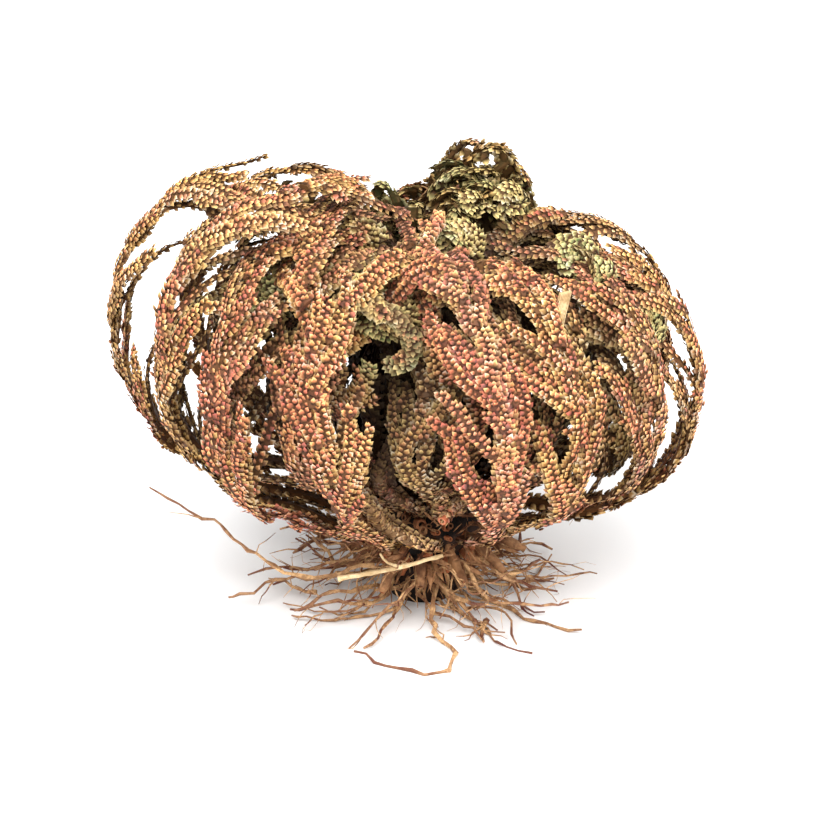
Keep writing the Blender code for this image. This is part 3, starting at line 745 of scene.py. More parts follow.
def steady(level):
    """A greenness that is the same all along a strand."""
    return lambda share: np.full(np.shape(share), level)


def leafy(heap, strand, looks, chance, leaf, blush, green, old, sparse=1.0, rows=ROWS):
    """Clothe one strand: a slim core, and rows of scale leaves that overlap towards its tip. blush and
    old: how red and how old it is; green: a function from the share of its length to how green it is;
    sparse: how much wider its leaves are spaced."""
    points, tangent, outward, across, wide, length = line_at(strand, STEP)
    wide = wide * SLIM
    run = np.linspace(0, length, len(points))
    sway = WANDER * np.minimum(1, run / (8 * MM)) * (1 if strand.parent is None else 0.6)
    swing = np.sin(run * chance.uniform(350, 520) + chance.uniform(0, 6.3))
    points = points + across * (sway * swing)[:, None]
    sink = 1 + np.sin(run * chance.uniform(300, 450) + chance.uniform(0, 6.3))
    points = points - outward * (sway * sink)[:, None]
    points = np.clip(points, np.array(CAD_BOX[0]) + BOX_MARGIN, np.array(CAD_BOX[1]) - BOX_MARGIN)
    taper = np.minimum(1, np.linspace(length, 0, len(points)) / (2.2 * MM) + 0.15)
    even = np.ones(len(points))
    tint = np.stack([blush * even, green(np.linspace(0, 1, len(points))), old * even], axis=1)
    heap.tube(
        points, outward, across, 0.78 * wide * taper, 0.28 * wide * taper, 0.15, tint, along=CORE_ALONG
    )
    pitch = looks.leaf_pitch * sparse
    bias = chance.uniform(-0.12, 0.32)
    roll_phase, roll_rate = chance.uniform(0, 6.3), chance.uniform(60, 120)
    for row in rows:
        step = pitch * (1.9 if abs(row.facing) > 90 else 1.0)
        count = max(2, int(length / step))
        order = np.arange(count) + row.phase + chance.uniform(-0.16, 0.16, count)
        share = np.clip(order * step / length, 0, 0.985)
        place = share * (len(points) - 1)
        low = np.minimum(place.astype(int), len(points) - 2)
        part = (place - low)[:, None]

        def at(values):
            return between(values, low, part)

        forward, out, side = unit(at(tangent)), unit(at(outward)), unit(at(across))
        half = (wide[low] * (1 - part[:, 0]) + wide[low + 1] * part[:, 0])[:, None]
        roll = 0.22 * np.sin(roll_phase + share * length * roll_rate)[:, None]
        out, side = out * np.cos(roll) + side * np.sin(roll), side * np.cos(roll) - out * np.sin(roll)
        base = at(points) + side * half * row.aside + out * half * row.out
        facing = np.radians(row.facing + chance.uniform(-14, 14, count))[:, None]
        normal = out * np.cos(facing) + side * np.sin(facing)
        beside = side * np.cos(facing) - out * np.sin(facing)
        way = 1 if abs(row.facing) < 90 else -1
        splay = row.splay * (1 - 0.45 * share**6) + chance.uniform(-12, 12, count)
        splay = np.radians(splay)[:, None] * way
        tilt = looks.leaf_lift + chance.uniform(-8, 12, count) + 25 * (chance.random(count) < 0.06)
        tilt = np.radians(tilt)[:, None]
        ahead = forward * np.cos(splay) + beside * np.sin(splay)
        ahead_up = ahead * np.cos(tilt) + normal * np.sin(tilt)
        up = normal * np.cos(tilt) - ahead * np.sin(tilt)
        axes = np.stack([np.cross(ahead_up, up), ahead_up, up], axis=1)
        grown = looks.leaf_length * (0.60 + 0.2 * half[:, 0] / MM) * row.size
        grown = grown * chance.uniform(0.8, 1.18, count)
        broad = grown * looks.leaf_width * chance.uniform(0.88, 1.12, count)
        sizes = np.stack([broad, grown, grown * 0.9], axis=1)
        spine = 1 if abs(row.aside) < 0.3 else -1
        # Painted shade: the side rows get a lower, browner tone, so each stem looks rounded; the tone also
        # differs at random and is lower in the dull rows
        tones = 0.85 * chance.random(count) + bias - 0.3 * row.dull + 0.16 - 0.62 * abs(row.aside)
        tones = np.clip(tones, 0, 1)
        reds = blush + chance.uniform(-0.25, 0.25, count) - 0.25 * row.dull + 0.27 * spine
        greens = np.clip(green(share) + 0.5 * row.dull * (0.35 + green(share)), 0, 1)
        ages = old + 0.8 * np.exp(-share * length / (9 * MM)) * (strand.parent is None)
        tints = np.stack([reds, greens, ages], axis=1)
        # Painted shade at the sides of the stem, scaled by the heap's contrast
        painted_side_shade = heap.contrast * max(0, 1.3 * abs(row.aside) - 0.15)
        heap.stamp(leaf, base, axes, sizes, tones, tints, -0.12, painted_side_shade)


def threads(strand, chance, split_share):
    """The strand as it is, or as two thinner ones side by side that wander apart and end by turns."""
    if chance.random() > split_share:
        return [strand]
    points, _, outward, across, wide, length = line_at(strand, STEP)
    share = np.linspace(0, 1, len(points))
    made = []
    for side in (-1, 1):
        away = side * wide * (0.3 + 0.24 * np.minimum(1, share * 3))
        swing = np.sin(share * length * chance.uniform(200, 420) + chance.uniform(0, 6.3))
        away = away + 0.25 * wide * swing
        dive = np.sin(share * length * chance.uniform(150, 300) + chance.uniform(0, 6.3))
        sunk = wide * (0.15 + 0.3 * dive)
        route = points + across * away[:, None] - outward * sunk[:, None]
        last = len(route) - (int(chance.uniform(0, 0.22) * len(route)) if side > 0 else 0)
        last = max(5, last)
        made.append(Strand(strand.owner, route[:last], 0.62 * wide[:last], strand.parent, 0))
    return made


# One kind of side shoots: how far apart they stand, how long they are, how far they stand off sideways
# and dip inwards as shares of their length, where on the stem the first stands, and their half width
Shoots = namedtuple("Shoots", "pitch lengths spreads dips first radius")
STEM_SHOOTS = Shoots(5.2 * MM, (2.6 * MM, 4.4 * MM), (0.5, 0.75), (0.0, 0.35), 0.15, 0.72 * MM)
BRANCH_SHOOTS = STEM_SHOOTS._replace(pitch=4.4 * MM)
INNER_SHOOTS = Shoots(7 * MM, (12 * MM, 18 * MM), (0.3, 0.8), (-0.2, 0.4), 0.2, 1.3 * MM)
DEEP_SHOOTS = Shoots(15 * MM, (16 * MM, 24 * MM), (0.05, 0.3), (0.3, 0.55), 0.18, 1.25 * MM)
CROSSING_SHOOTS = Shoots(13 * MM, (9 * MM, 16 * MM), (0.3, 0.62), (-0.1, 0.12), 0.28, 1.0 * MM)
FRONT_SHOOTS = Shoots(6 * MM, (3 * MM, 6 * MM), (0.4, 0.7), (0.0, 0.4), 0.2, 0.8 * MM)


def branchlets(strand, chance, shoots):
    """Side shoots of this kind, on both sides of a stem by turns."""
    pitch, lengths, spreads, dips, first, radius = shoots
    points, tangent, outward, across, _, length = line_at(strand, STEP / 2)
    made = []
    side = 1
    place = first * length + chance.uniform(0, pitch)
    while place < 0.97 * length:
        reach = chance.uniform(*lengths) * (1 - 0.35 * place / length)
        share = np.linspace(0, 1, 6)
        index = (place + share * reach) / length * (len(points) - 1)
        low = np.clip(index.astype(int), 0, len(points) - 2)
        part = np.clip(index - low, 0, 1)[:, None]
        over = np.maximum(0, place + share * reach - length)[:, None]
        spread, dip = chance.uniform(*spreads) * reach, chance.uniform(*dips) * reach

        def at(values):
            return between(values, low, part)

        route = at(points) + at(tangent) * over + at(across) * side * spread * (share**0.85)[:, None]
        route = route - at(outward) * dip * (share**1.4)[:, None]
        made.append(Strand(strand.owner, route, radius * (1 - 0.4 * share**2), 0, 0))
        side = -side
        place += pitch * chance.uniform(0.7, 1.3)
    return made


# How red each frond is where it differs from the rest, and how green its tip is
BLUSH = {
    "frond_outer_01": 0.22, "frond_outer_02": 0.25, "frond_outer_03": 0.85, "frond_outer_04": 0.62,
    "frond_outer_06": 0.95, "frond_outer_07": 0.45, "frond_outer_08": 0.40, "frond_outer_09": 0.50,
    "frond_outer_15": 0.25, "frond_middle_03": 0.6, "frond_middle_05": 0.35, "frond_middle_06": 0.5,
    "frond_front_curl": 0.62, "frond_top_curl": 0.1,
}
SPLIT_SHARE = {"outer": 0.75, "middle": 0.6, "inner": 0.3, "front": 0.3, "top": 0.0}
# How strongly painted shade darkens each ring's fronds towards the middle of the ball; the others take 1
RING_PAINTED_SHADE = {"middle": 0.7, "front": 0.25, "top": 0.1}
GREEN = {"outer": 0.0, "middle": 0.35, "inner": 0.85, "front": 0.9, "top": 0.9}


def dress_frond(name, looks, finish):
    """One frond as one piece: its stem, its side branches and their shoots, all clothed in scale leaves."""
    ring = name.split("_")[1]
    # Weaker painted shade at the sides of the stems for the front and top fronds
    heap = Heap(0.45 if ring in ("front", "top") else 1.0)
    chance = np.random.default_rng(sum(ord(letter) * (k + 3) for k, letter in enumerate(name)))
    blush = BLUSH.get(name, chance.uniform(0.2, 0.5))
    tip = GREEN.get(ring, 0)
    leaf = scale_leaf()
    for strand in [s for s in settled() if s.owner == name]:
        is_stem = strand.parent is None
        own = blush + chance.uniform(-0.15, 0.15)
        if ring == "top":
            tip = chance.choice([0.3, 0.95])

        def green(share):
            late = is_stem or ring == "front"
            return tip * np.clip((share - 0.5) * 2.4 if late else share * 0.7 + 0.45, 0, 1)

        old = max(0.0, chance.uniform(-0.5, 0.45))
        for thread in threads(strand, chance, SPLIT_SHARE.get(ring, 0.5)):
            rows = ROWS if thread is strand else THIN_ROWS
            leafy(heap, thread, looks, chance, leaf, own + chance.uniform(-0.1, 0.1), green, old, 1.0, rows)

        shoot_green = steady(tip * (0.25 if ring == "front" else 0.75))
        for shoot in branchlets(strand, chance, STEM_SHOOTS if is_stem else BRANCH_SHOOTS):
            leafy(heap, shoot, looks, chance, leaf, own + 0.22, shoot_green, old, 1.1, SLIM_ROWS)
        if is_stem and ring == "inner":
            for shoot in branchlets(strand, chance, INNER_SHOOTS):
                leafy(heap, shoot, looks, chance, leaf, own - 0.2, shoot_green, old, 1.2, UPPER_ROWS)
        if is_stem and ring in ("outer", "middle"):
            for shoot in branchlets(strand, chance, DEEP_SHOOTS):
                leafy(heap, shoot, looks, chance, leaf, own - 0.2, shoot_green, old + 0.2, 1.45, SLIM_ROWS)
            for shoot in branchlets(strand, chance, CROSSING_SHOOTS):
                leafy(heap, shoot, looks, chance, leaf, own + 0.1, shoot_green, old, 1.15, SLIM_ROWS)
    slot = "green_scales" if ring in ("inner", "front", "top") else "tan_scales"
    return heap.piece("dressed_" + name, finish, slot, name, shade=RING_PAINTED_SHADE.get(ring, 1.0))


# Small curled tips, seen as green spirals: middle in millimetres, how many, how far they scatter
CURLED_TIPS = [
    ((8, 6, 55), 15, 4.6), ((-9.5, -8, 55.5), 6, 2.4), ((-21, -13, 50), 5, 2.0), ((20, -9, 52.5), 6, 2.4),
    ((29, -6, 42), 5, 1.8), ((-4.5, -16.5, 47.5), 7, 2.2), ((3.5, -6, 54), 4, 2.2), ((-4, 14, 50), 6, 4),
    ((14, 16, 48), 6, 4), ((-16, 12, 50), 6, 4), ((-7.2, -14.5, 50), 6, 2.0),
]


def curl_strand(middle, chance):
    """One small frond tip that has rolled up into a spiral."""
    radius, turns = chance.uniform(1.7, 3.2) * MM, chance.uniform(1.1, 1.6)
    first = unit(chance.normal(0, 1, 3) * np.array([1, 0.45, 1]))
    second = unit(np.cross(unit(np.array([0, -1, 0.3]) + chance.normal(0, 0.45, 3)), first))
    axis = np.cross(first, second)
    turn = np.linspace(0, 2 * math.pi * turns, round(9 * turns))
    shrink = radius * np.linspace(1, 0.3, len(turn))[:, None]
    spiral = middle + shrink * (first * np.cos(turn)[:, None] + second * np.sin(turn)[:, None])
    spiral = spiral + axis * np.linspace(-0.8, 0.8, len(turn))[:, None] * MM
    return Strand("curl", spiral, 1.3 * MM * np.linspace(1, 0.6, len(turn)), 0, 0)


def upright_strand(azimuth, perch, chance):
    """One short frond in the middle of the ball, between the ones that show."""
    seat, normal = crown_seat(azimuth, perch)
    reach, height = chance.uniform(4, 15) * MM, chance.uniform(28, 47) * MM
    lean = horizontal(azimuth + chance.uniform(-25, 25))
    knots = [
        seat, seat + normal * 3 * MM,
        lean * reach * 0.75 + np.array([0, 0, 0.5 * height]),
        lean * reach + np.array([0, 0, 0.8 * height]),
        lean * reach * chance.uniform(0.5, 0.9) + np.array([0, 0, height]),
    ]
    route = resampled(smooth_through(np.array(knots)), STEP)
    return Strand("upright", route, np.full(len(route), 2.1 * MM), None, 0)


# Materials


def node(tree, kind, inputs=None, **settings):
    """A shader node. An input is a value, or the output that feeds it."""
    made = tree.nodes.new("ShaderNode" + kind)
    for key, value in settings.items():
        setattr(made, key, value)
    for key, value in (inputs or {}).items():
        if isinstance(value, bpy.types.NodeSocket):
            tree.links.new(value, made.inputs[key])
        else:
            made.inputs[key].default_value = value
    return made


def mixed(tree, share, first, second, kind="MIX"):
    """The colour between the first and the second."""
    made = tree.nodes.new("ShaderNodeMix")
    made.data_type, made.blend_type = "RGBA", kind
    for index, value in ((0, share), (6, first), (7, second)):
        if isinstance(value, bpy.types.NodeSocket):
            tree.links.new(value, made.inputs[index])
        else:
            made.inputs[index].default_value = value if index == 0 else (*value, 1)[:4]
    return made.outputs[2]


def ramp(tree, value, stops):
    """A number from a number, through stops of (place, value)."""
    made = tree.nodes.new("ShaderNodeValToRGB")
    while len(made.color_ramp.elements) < len(stops):
        made.color_ramp.elements.new(0.5)
    for element, (place, level) in zip(made.color_ramp.elements, stops):
        element.position = place
        element.color = (*level, 1) if np.ndim(level) else (level, level, level, 1)
    tree.links.new(value, made.inputs[0])
    return made.outputs[0]


def maths(tree, kind, first, second=0.0, clamp=False):
    made = tree.nodes.new("ShaderNodeMath")
    made.operation, made.use_clamp = kind, clamp
    for index, value in ((0, first), (1, second)):
        if isinstance(value, bpy.types.NodeSocket):
            tree.links.new(value, made.inputs[index])
        else:
            made.inputs[index].default_value = value
    return made.outputs[0]


def noise(tree, scale, detail=3.0, rough=0.55):
    """A number between 0 and 1 that wanders over the object."""
    coordinates = node(tree, "TexCoord")
    return node(
        tree, "TexNoise",
        {"Vector": coordinates.outputs["Object"], "Scale": scale, "Detail": detail, "Roughness": rough},
    ).outputs[0]


def facts(tree, name):
    """The four numbers that a piece's corners carry under this name."""
    read = node(tree, "Attribute", attribute_name=name)
    split = node(tree, "SeparateColor", {0: read.outputs["Color"]})
    return split.outputs[0], split.outputs[1], split.outputs[2], read.outputs["Alpha"]


def new_material(name, roughness, specular=0.35):
    made = bpy.data.materials.new(name)
    made.use_nodes = True
    tree = made.node_tree
    shader = tree.nodes["Principled BSDF"]
    shader.inputs["Roughness"].default_value = roughness
    shader.inputs["Specular IOR Level"].default_value = specular
    return made, tree, shader


def bumped(tree, shader, height, strength, distance):
    bump = node(tree, "Bump", {"Height": height, "Strength": strength, "Distance": distance})
    tree.links.new(bump.outputs[0], shader.inputs["Normal"])


def scale_material(name, colours):
    """Scale leaves: a base darkened by painted shade, a tan, salmon, red or green middle and a pale papery
    rim; painted shade also darkens them at the sides of the stems and deep inside the ball.
    """
    made, tree, shader = new_material(name, 0.62, 0.14)
    rim, along, tone, deep = facts(tree, "leaf")
    red, green, old, side = facts(tree, "tint")
    patches = noise(tree, 90, 2)
    fine = noise(tree, 900, 3)
    middle = ramp(tree, tone, [
        (0.0, colours.brown), (0.30, colours.tan), (0.62, colours.gold), (0.85, colours.salmon),
        (1.0, colours.tan),
    ])
    flush = ramp(tree, tone, [
        (0.0, colours.mauve), (0.35, colours.crimson), (0.7, colours.pink), (1.0, colours.salmon),
    ])
    redness = maths(tree, "ADD", red, maths(tree, "MULTIPLY", maths(tree, "SUBTRACT", patches, 0.5), 2.6))
    share = ramp(tree, redness, [(0.38, 0.0), (0.78, 0.9)])
    colour = mixed(tree, maths(tree, "MULTIPLY", share, 0.7), middle, flush)
    greens = ramp(tree, tone, [(0.0, colours.dark_green), (1.0, colours.grey_green)])
    colour = mixed(tree, green, colour, greens)
    colour = mixed(tree, maths(tree, "MULTIPLY", old, 0.7, True), colour, colours.old_stem)
    near_rim = ramp(tree, rim, [(0.45, 0.0), (0.8, 1.0)])
    near_tip = ramp(tree, along, [(0.35, 0.0), (0.75, 1.0)])
    edge = maths(tree, "MULTIPLY", near_rim, near_tip)
    bleached = ramp(tree, noise(tree, 420, 2), [(0.5, 0.0), (0.66, 0.8)])
    papery = mixed(tree, bleached, colours.cream, colours.pale)
    flushed_rim = maths(tree, "MULTIPLY", share, ramp(tree, tone, [(0.2, 1.0), (0.8, 0.25)]))
    papery = mixed(tree, flushed_rim, papery, colours.pink)
    pale = mixed(tree, maths(tree, "MULTIPLY", green, 0.5), papery, colours.grey_green)
    edge = maths(tree, "MULTIPLY", edge, ramp(tree, tone, [(0.0, 0.4), (0.6, 0.95), (1.0, 0.8)]))
    colour = mixed(tree, edge, colour, pale)
    # Painted shade: the base of each leaf, covered by the leaf before it, goes to near black
    colour = mixed(tree, ramp(tree, along, [(0.22, 1.0), (0.7, 0.0)]), colour, colours.dark)
    colour = mixed(tree, ramp(tree, fine, [(0.35, 0.4), (0.6, 0.0)]), colour, colours.brown)
    # Painted shade: darker towards the sides of the stems
    colour = mixed(tree, maths(tree, "MULTIPLY", side, 0.85), colour, colours.dark)
    # Painted shade: darker deep inside the ball
    colour = mixed(tree, ramp(tree, deep, [(0.13, 0.0), (0.42, 0.92)]), colour, colours.dark)
    tree.links.new(colour, shader.inputs["Base Color"])
    bumped(tree, shader, fine, 0.45, 0.0002)
    return made


def bark_material(name, light, dark, cut, scale=260):
    """Old stem bases and root wood: mottled brown, with raw orange-red cut ends."""
    made, tree, shader = new_material(name, 0.72, 0.2)
    rim, _, tone, _ = facts(tree, "leaf")
    red = facts(tree, "tint")[0]
    coarse, fine = noise(tree, scale, 4), noise(tree, scale * 5, 3)
    colour = mixed(tree, ramp(tree, coarse, [(0.42, 0.0), (0.58, 1.0)]), dark, light)
    colour = mixed(tree, maths(tree, "MULTIPLY", tone, 0.4), colour, light)
    colour = mixed(tree, red, colour, cut)
    raw = maths(tree, "MULTIPLY", rim, ramp(tree, tone, [(0.45, 0.1), (0.6, 0.8)]))
    colour = mixed(tree, raw, colour, cut)
    colour = mixed(tree, ramp(tree, fine, [(0.3, 0.6), (0.55, 0.0)]), colour, dark)
    tree.links.new(colour, shader.inputs["Base Color"])
    bumped(tree, shader, fine, 0.5, 0.0003)
    return made


# Near black painted shade for the crown wood and the stump, the darkest places between the stem bases and
# under the ball
PAINTED_HOLLOW_SHADE = (0.004, 0.002, 0.001)


@lru_cache
def finish(name):
    """A material by its name, made once."""
    looks = bpy.context.scene.plant_colours
    if name == "scales":
        return scale_material("scale_leaves", looks)
    if name == "bark":
        return bark_material("old_stem_bases", looks.bark_light, looks.bark_dark, looks.cut_wood)
    if name == "hollow":
        # Painted shade: the crown wood and stump are mottled from half the dark bark down to near black
        shaded = tuple(0.5 * value for value in looks.bark_dark)
        return bark_material("dark_hollows", shaded, PAINTED_HOLLOW_SHADE, looks.cut_wood)
    if name == "root":
        return bark_material("wiry_roots", looks.root_light, looks.root_dark, looks.root_tip, 620)
    if name == "bare":
        return bark_material("bare_stems", looks.bare_light, looks.bare_dark, looks.cut_wood, 700)
    return bark_material("straw", looks.straw_light, looks.straw_dark, looks.straw_dark, 500)


# Settings


def colour_setting(name, description, default):
    return bpy.props.FloatVectorProperty(
        name=name, description=description, default=default, subtype="COLOR", size=3, min=0, max=1
    )


class PlantColours(bpy.types.PropertyGroup):
    """Colours of the plant, as the materials mix them."""

    pale: colour_setting("Pale rim", "The bleached rims among the cream ones", (0.93, 0.86, 0.70))
    cream: colour_setting("Cream rim", "The papery rim of a scale leaf", (0.95, 0.63, 0.25))
    gold: colour_setting("Gold", "The middle of a pale scale leaf", (0.68, 0.40, 0.12))
    tan: colour_setting("Tan", "The middle of an ordinary scale leaf", (0.54, 0.25, 0.06))
    salmon: colour_setting("Salmon", "The middle of a flushed scale leaf", (0.74, 0.27, 0.10))
    pink: colour_setting("Pink", "The middle of a red scale leaf", (0.70, 0.10, 0.09))
    crimson: colour_setting("Crimson", "The middle of a deep red scale leaf", (0.42, 0.04, 0.06))
    mauve: colour_setting("Mauve", "The middle of an old red scale leaf", (0.30, 0.11, 0.12))
    brown: colour_setting("Brown", "The middle of a dark scale leaf", (0.19, 0.08, 0.03))
    # The near black of painted shade: the covered leaf bases, the sides of the stems and the middle of the
    # ball
    dark: colour_setting("Dark base", "The covered base of a scale leaf", (0.022, 0.009, 0.004))
    dark_green: colour_setting("Dark green", "The darkest curled tips", (0.12, 0.20, 0.06))
    grey_green: colour_setting("Grey green", "The palest curled tips", (0.50, 0.55, 0.25))
    old_stem: colour_setting("Old stem", "The pinkish grey of old stems near the crown", (0.48, 0.29, 0.20))
    bark_light: colour_setting("Light bark", "The light parts of the crown", (0.42, 0.22, 0.10))
    bark_dark: colour_setting("Dark bark", "The dark parts of the crown", (0.07, 0.026, 0.012))
    cut_wood: colour_setting("Cut wood", "The raw ends of broken stems", (0.45, 0.13, 0.05))
    root_light: colour_setting("Light root", "The ochre parts of the roots", (0.72, 0.44, 0.21))
    root_dark: colour_setting("Dark root", "The dark parts of the roots", (0.14, 0.045, 0.02))
    root_tip: colour_setting("Root tip", "The red-brown tips of the roots", (0.10, 0.025, 0.025))
    bare_light: colour_setting("Light bare stem", "The pinkish grey of the broken stems", (0.62, 0.42, 0.34))
    bare_dark: colour_setting("Dark bare stem", "The dots and furrows of the broken stems", (0.30, 0.15, 0.12))
    straw_light: colour_setting("Light straw", "The ribs of the straw", (0.80, 0.62, 0.36))
    straw_dark: colour_setting("Dark straw", "The furrows of the straw", (0.45, 0.28, 0.12))


class LeafSettings(bpy.types.PropertyGroup):
    """Sizes of the scale leaves."""

    leaf_pitch: bpy.props.FloatProperty(
        name="Pitch", description="Distance from one scale leaf to the next in its row",
        default=0.78 * MM, min=0.4 * MM, max=2 * MM, unit="LENGTH",
    )
    leaf_length: bpy.props.FloatProperty(
        name="Length", description="Length of a scale leaf on a stem of 4 mm", default=1.3 * MM, min=0.5 * MM,
        max=4 * MM, unit="LENGTH",
    )
    leaf_width: bpy.props.FloatProperty(
        name="Width share", description="Width of a scale leaf for its length", default=0.76,
        min=0.3, max=1.2, subtype="FACTOR",
    )
    leaf_lift: bpy.props.FloatProperty(
        name="Lift", description="Degrees by which a scale leaf stands off the stem", default=10,
        min=0, max=60,
    )


class RootSettings(bpy.types.PropertyGroup):
    """Numbers of the crown and the roots."""

    fine_roots: bpy.props.IntProperty(
        name="Fine roots", description="Number of thin roots between the thick ones", default=62,
        min=0, max=400,
    )
    rootlets: bpy.props.IntProperty(
        name="Rootlets", description="Number of hair roots on each root", default=3, min=0, max=12
    )
    stem_bases: bpy.props.IntProperty(
        name="Stem bases", description="Number of old stem bases on the crown", default=170, min=0, max=600
    )


class StudioSettings(bpy.types.PropertyGroup):
    """The floor, the lights and the camera."""

    elevation: bpy.props.FloatProperty(
        name="Camera elevation", description="Degrees by which the camera looks down", default=25,
        min=-90, max=90,
    )
    distance: bpy.props.FloatProperty(
        name="Camera distance", description="From the lens to the middle of the picture", default=0.65,
        min=0.2, max=3, unit="LENGTH",
    )
    floor_colour: colour_setting("Floor", "The pale floor", (0.86, 0.86, 0.86))
    key_power: bpy.props.FloatProperty(
        name="Key light", description="Power of the large soft light in watts", default=16.5, min=0, max=100
    )
    sky: bpy.props.FloatProperty(
        name="Surround", description="Brightness of the white surround", default=0.88, min=0, max=4
    )


# Pieces
UPRIGHT_COUNT = 44
# The two thin fronds in front, in millimetres
FRONT_FRONDS = [
    [(2, -9, 15), (4, -16, 26), (2.7, -18, 38), (0.8, -17, 47), (0, -12, 55), (1.5, -6, 59)],
    [(4, -8, 15), (6.4, -15, 29), (6.6, -16.5, 39), (5.2, -15.5, 48), (5.5, -10, 55)],
]
# How many leaf scars each broken stem has, and how many papery bracts the crown has
SCAR_COUNT = 420
BRACT_COUNT = 420
STUMP_RADIUS, STUMP_HEIGHT = 5.2 * MM, 11 * MM
# The loose twig and its fork, in millimetres
TWIG = [(-11.6, -13.6, 8.2), (-8, -13.9, 9.0), (-4, -14.0, 10.0), (-0.5, -13.8, 10.9), (2.4, -13.0, 11.4)]
TWIG_FORK = [(-3.2, -14.0, 10.2), (-5.2, -14.6, 11.2), (-6.0, -14.8, 12.6)]
# The photograph's frame: what stands in its middle, its scale there and its width in pixels
PICTURE_MIDDLE = (-2.0 * MM, 0, 26.8 * MM)
PIXELS_PER_METRE = 7410
PICTURE_WIDTH = 820


def frond_names(start):
    """The fronds that the record has under this start of their names."""
    names = sorted(name for name in frame["nodes"] if name.startswith(start))
    if not names:
        raise RuntimeError(f"the packed model has no node named {start}")
    return names


def dress_fronds(context, *starts):
    looks = context.scene.plant_leaves
    for start in starts:
        for name in frond_names(start):
            dress_frond(name, looks, finish("scales"))
    return {"FINISHED"}


class PLANT_OT_outer_fronds(bpy.types.Operator):
    """Dress the big fronds of the outer ring"""

    bl_idname = "plant.outer_fronds"
    bl_label = "Outer fronds"

    def execute(self, context):
        return dress_fronds(context, "frond_outer")


class PLANT_OT_inner_fronds(bpy.types.Operator):
    """Dress the shorter fronds that start higher on the crown"""

    bl_idname = "plant.inner_fronds"
    bl_label = "Inner fronds"

    def execute(self, context):
        return dress_fronds(context, "frond_middle", "frond_inner")


class PLANT_OT_curls(bpy.types.Operator):
    """Dress the spiral in front and the fist of curled fronds on top"""

    bl_idname = "plant.curls"
    bl_label = "Curls"

    def execute(self, context):
        return dress_fronds(context, "frond_front_curl", "frond_top_curl")


class PLANT_OT_curled_tips(bpy.types.Operator):
    """Model the small frond tips that have rolled up into green spirals"""

    bl_idname = "plant.curled_tips"
    bl_label = "Curled tips"

    def execute(self, context):
        # The heap's 0.45: weaker painted shade at the sides of the stems
        looks, chance, heap = context.scene.plant_leaves, np.random.default_rng(SEED), Heap(0.45)
        for middle, count, scatter in CURLED_TIPS:
            for _ in range(count):
                place = (np.array(middle) + chance.normal(0, scatter / 2, 3)) * MM
                strand = curl_strand(place, chance)
                level = chance.uniform(0.35, 0.95)
                leafy(
                    heap, strand, looks, chance, scale_leaf(), 0.0,
                    steady(level), 0.0, 1.0, UPPER_ROWS,
                )
        heap.piece("green_curled_tips", finish("scales"), "green_scales", None, shade=0.35)
        return {"FINISHED"}


class PLANT_OT_upright_fronds(bpy.types.Operator):
    """Model the short upright fronds in the middle of the ball"""

    bl_idname = "plant.upright_fronds"
    bl_label = "Upright fronds"

    def execute(self, context):
        looks, chance, heap = context.scene.plant_leaves, np.random.default_rng(SEED + 2), Heap()
        for k in range(UPRIGHT_COUNT):
            strand = upright_strand(k * SPIRAL_TURN, chance.uniform(45, 88), chance)
            leafy(
                heap, strand, looks, chance, scale_leaf(), chance.uniform(0.0, 0.35),
                lambda share: 0.5 * np.asarray(share), 0.25, 1.6, UPPER_ROWS,
            )
        heap.piece("upright_fronds", finish("scales"), "green_scales", None)
        return {"FINISHED"}


class PLANT_OT_front_fronds(bpy.types.Operator):
    """Model the two thin fronds that rise in front of the hollow right of the middle"""

    bl_idname = "plant.front_fronds"
    bl_label = "Front fronds"

    def execute(self, context):
        looks, chance, heap = context.scene.plant_leaves, np.random.default_rng(SEED + 3), Heap()
        for knots in FRONT_FRONDS:
            route = resampled(smooth_through(np.array(knots) * MM), STEP)
            strand = Strand("front", route, tapered(route, 1.7 * MM), None, 0)
            leafy(
                heap, strand, looks, chance, scale_leaf(), 0.55,
                steady(0.0), 0.2, 1.0, ROWS,
            )
            for shoot in branchlets(strand, chance, FRONT_SHOOTS):
                leafy(
                    heap, shoot, looks, chance, scale_leaf(), 0.6,
                    steady(0.0), 0.2, 1.1, SLIM_ROWS,
                )
        heap.piece("front_fronds", finish("scales"), "tan_scales", None, shade=0.4)
        return {"FINISHED"}


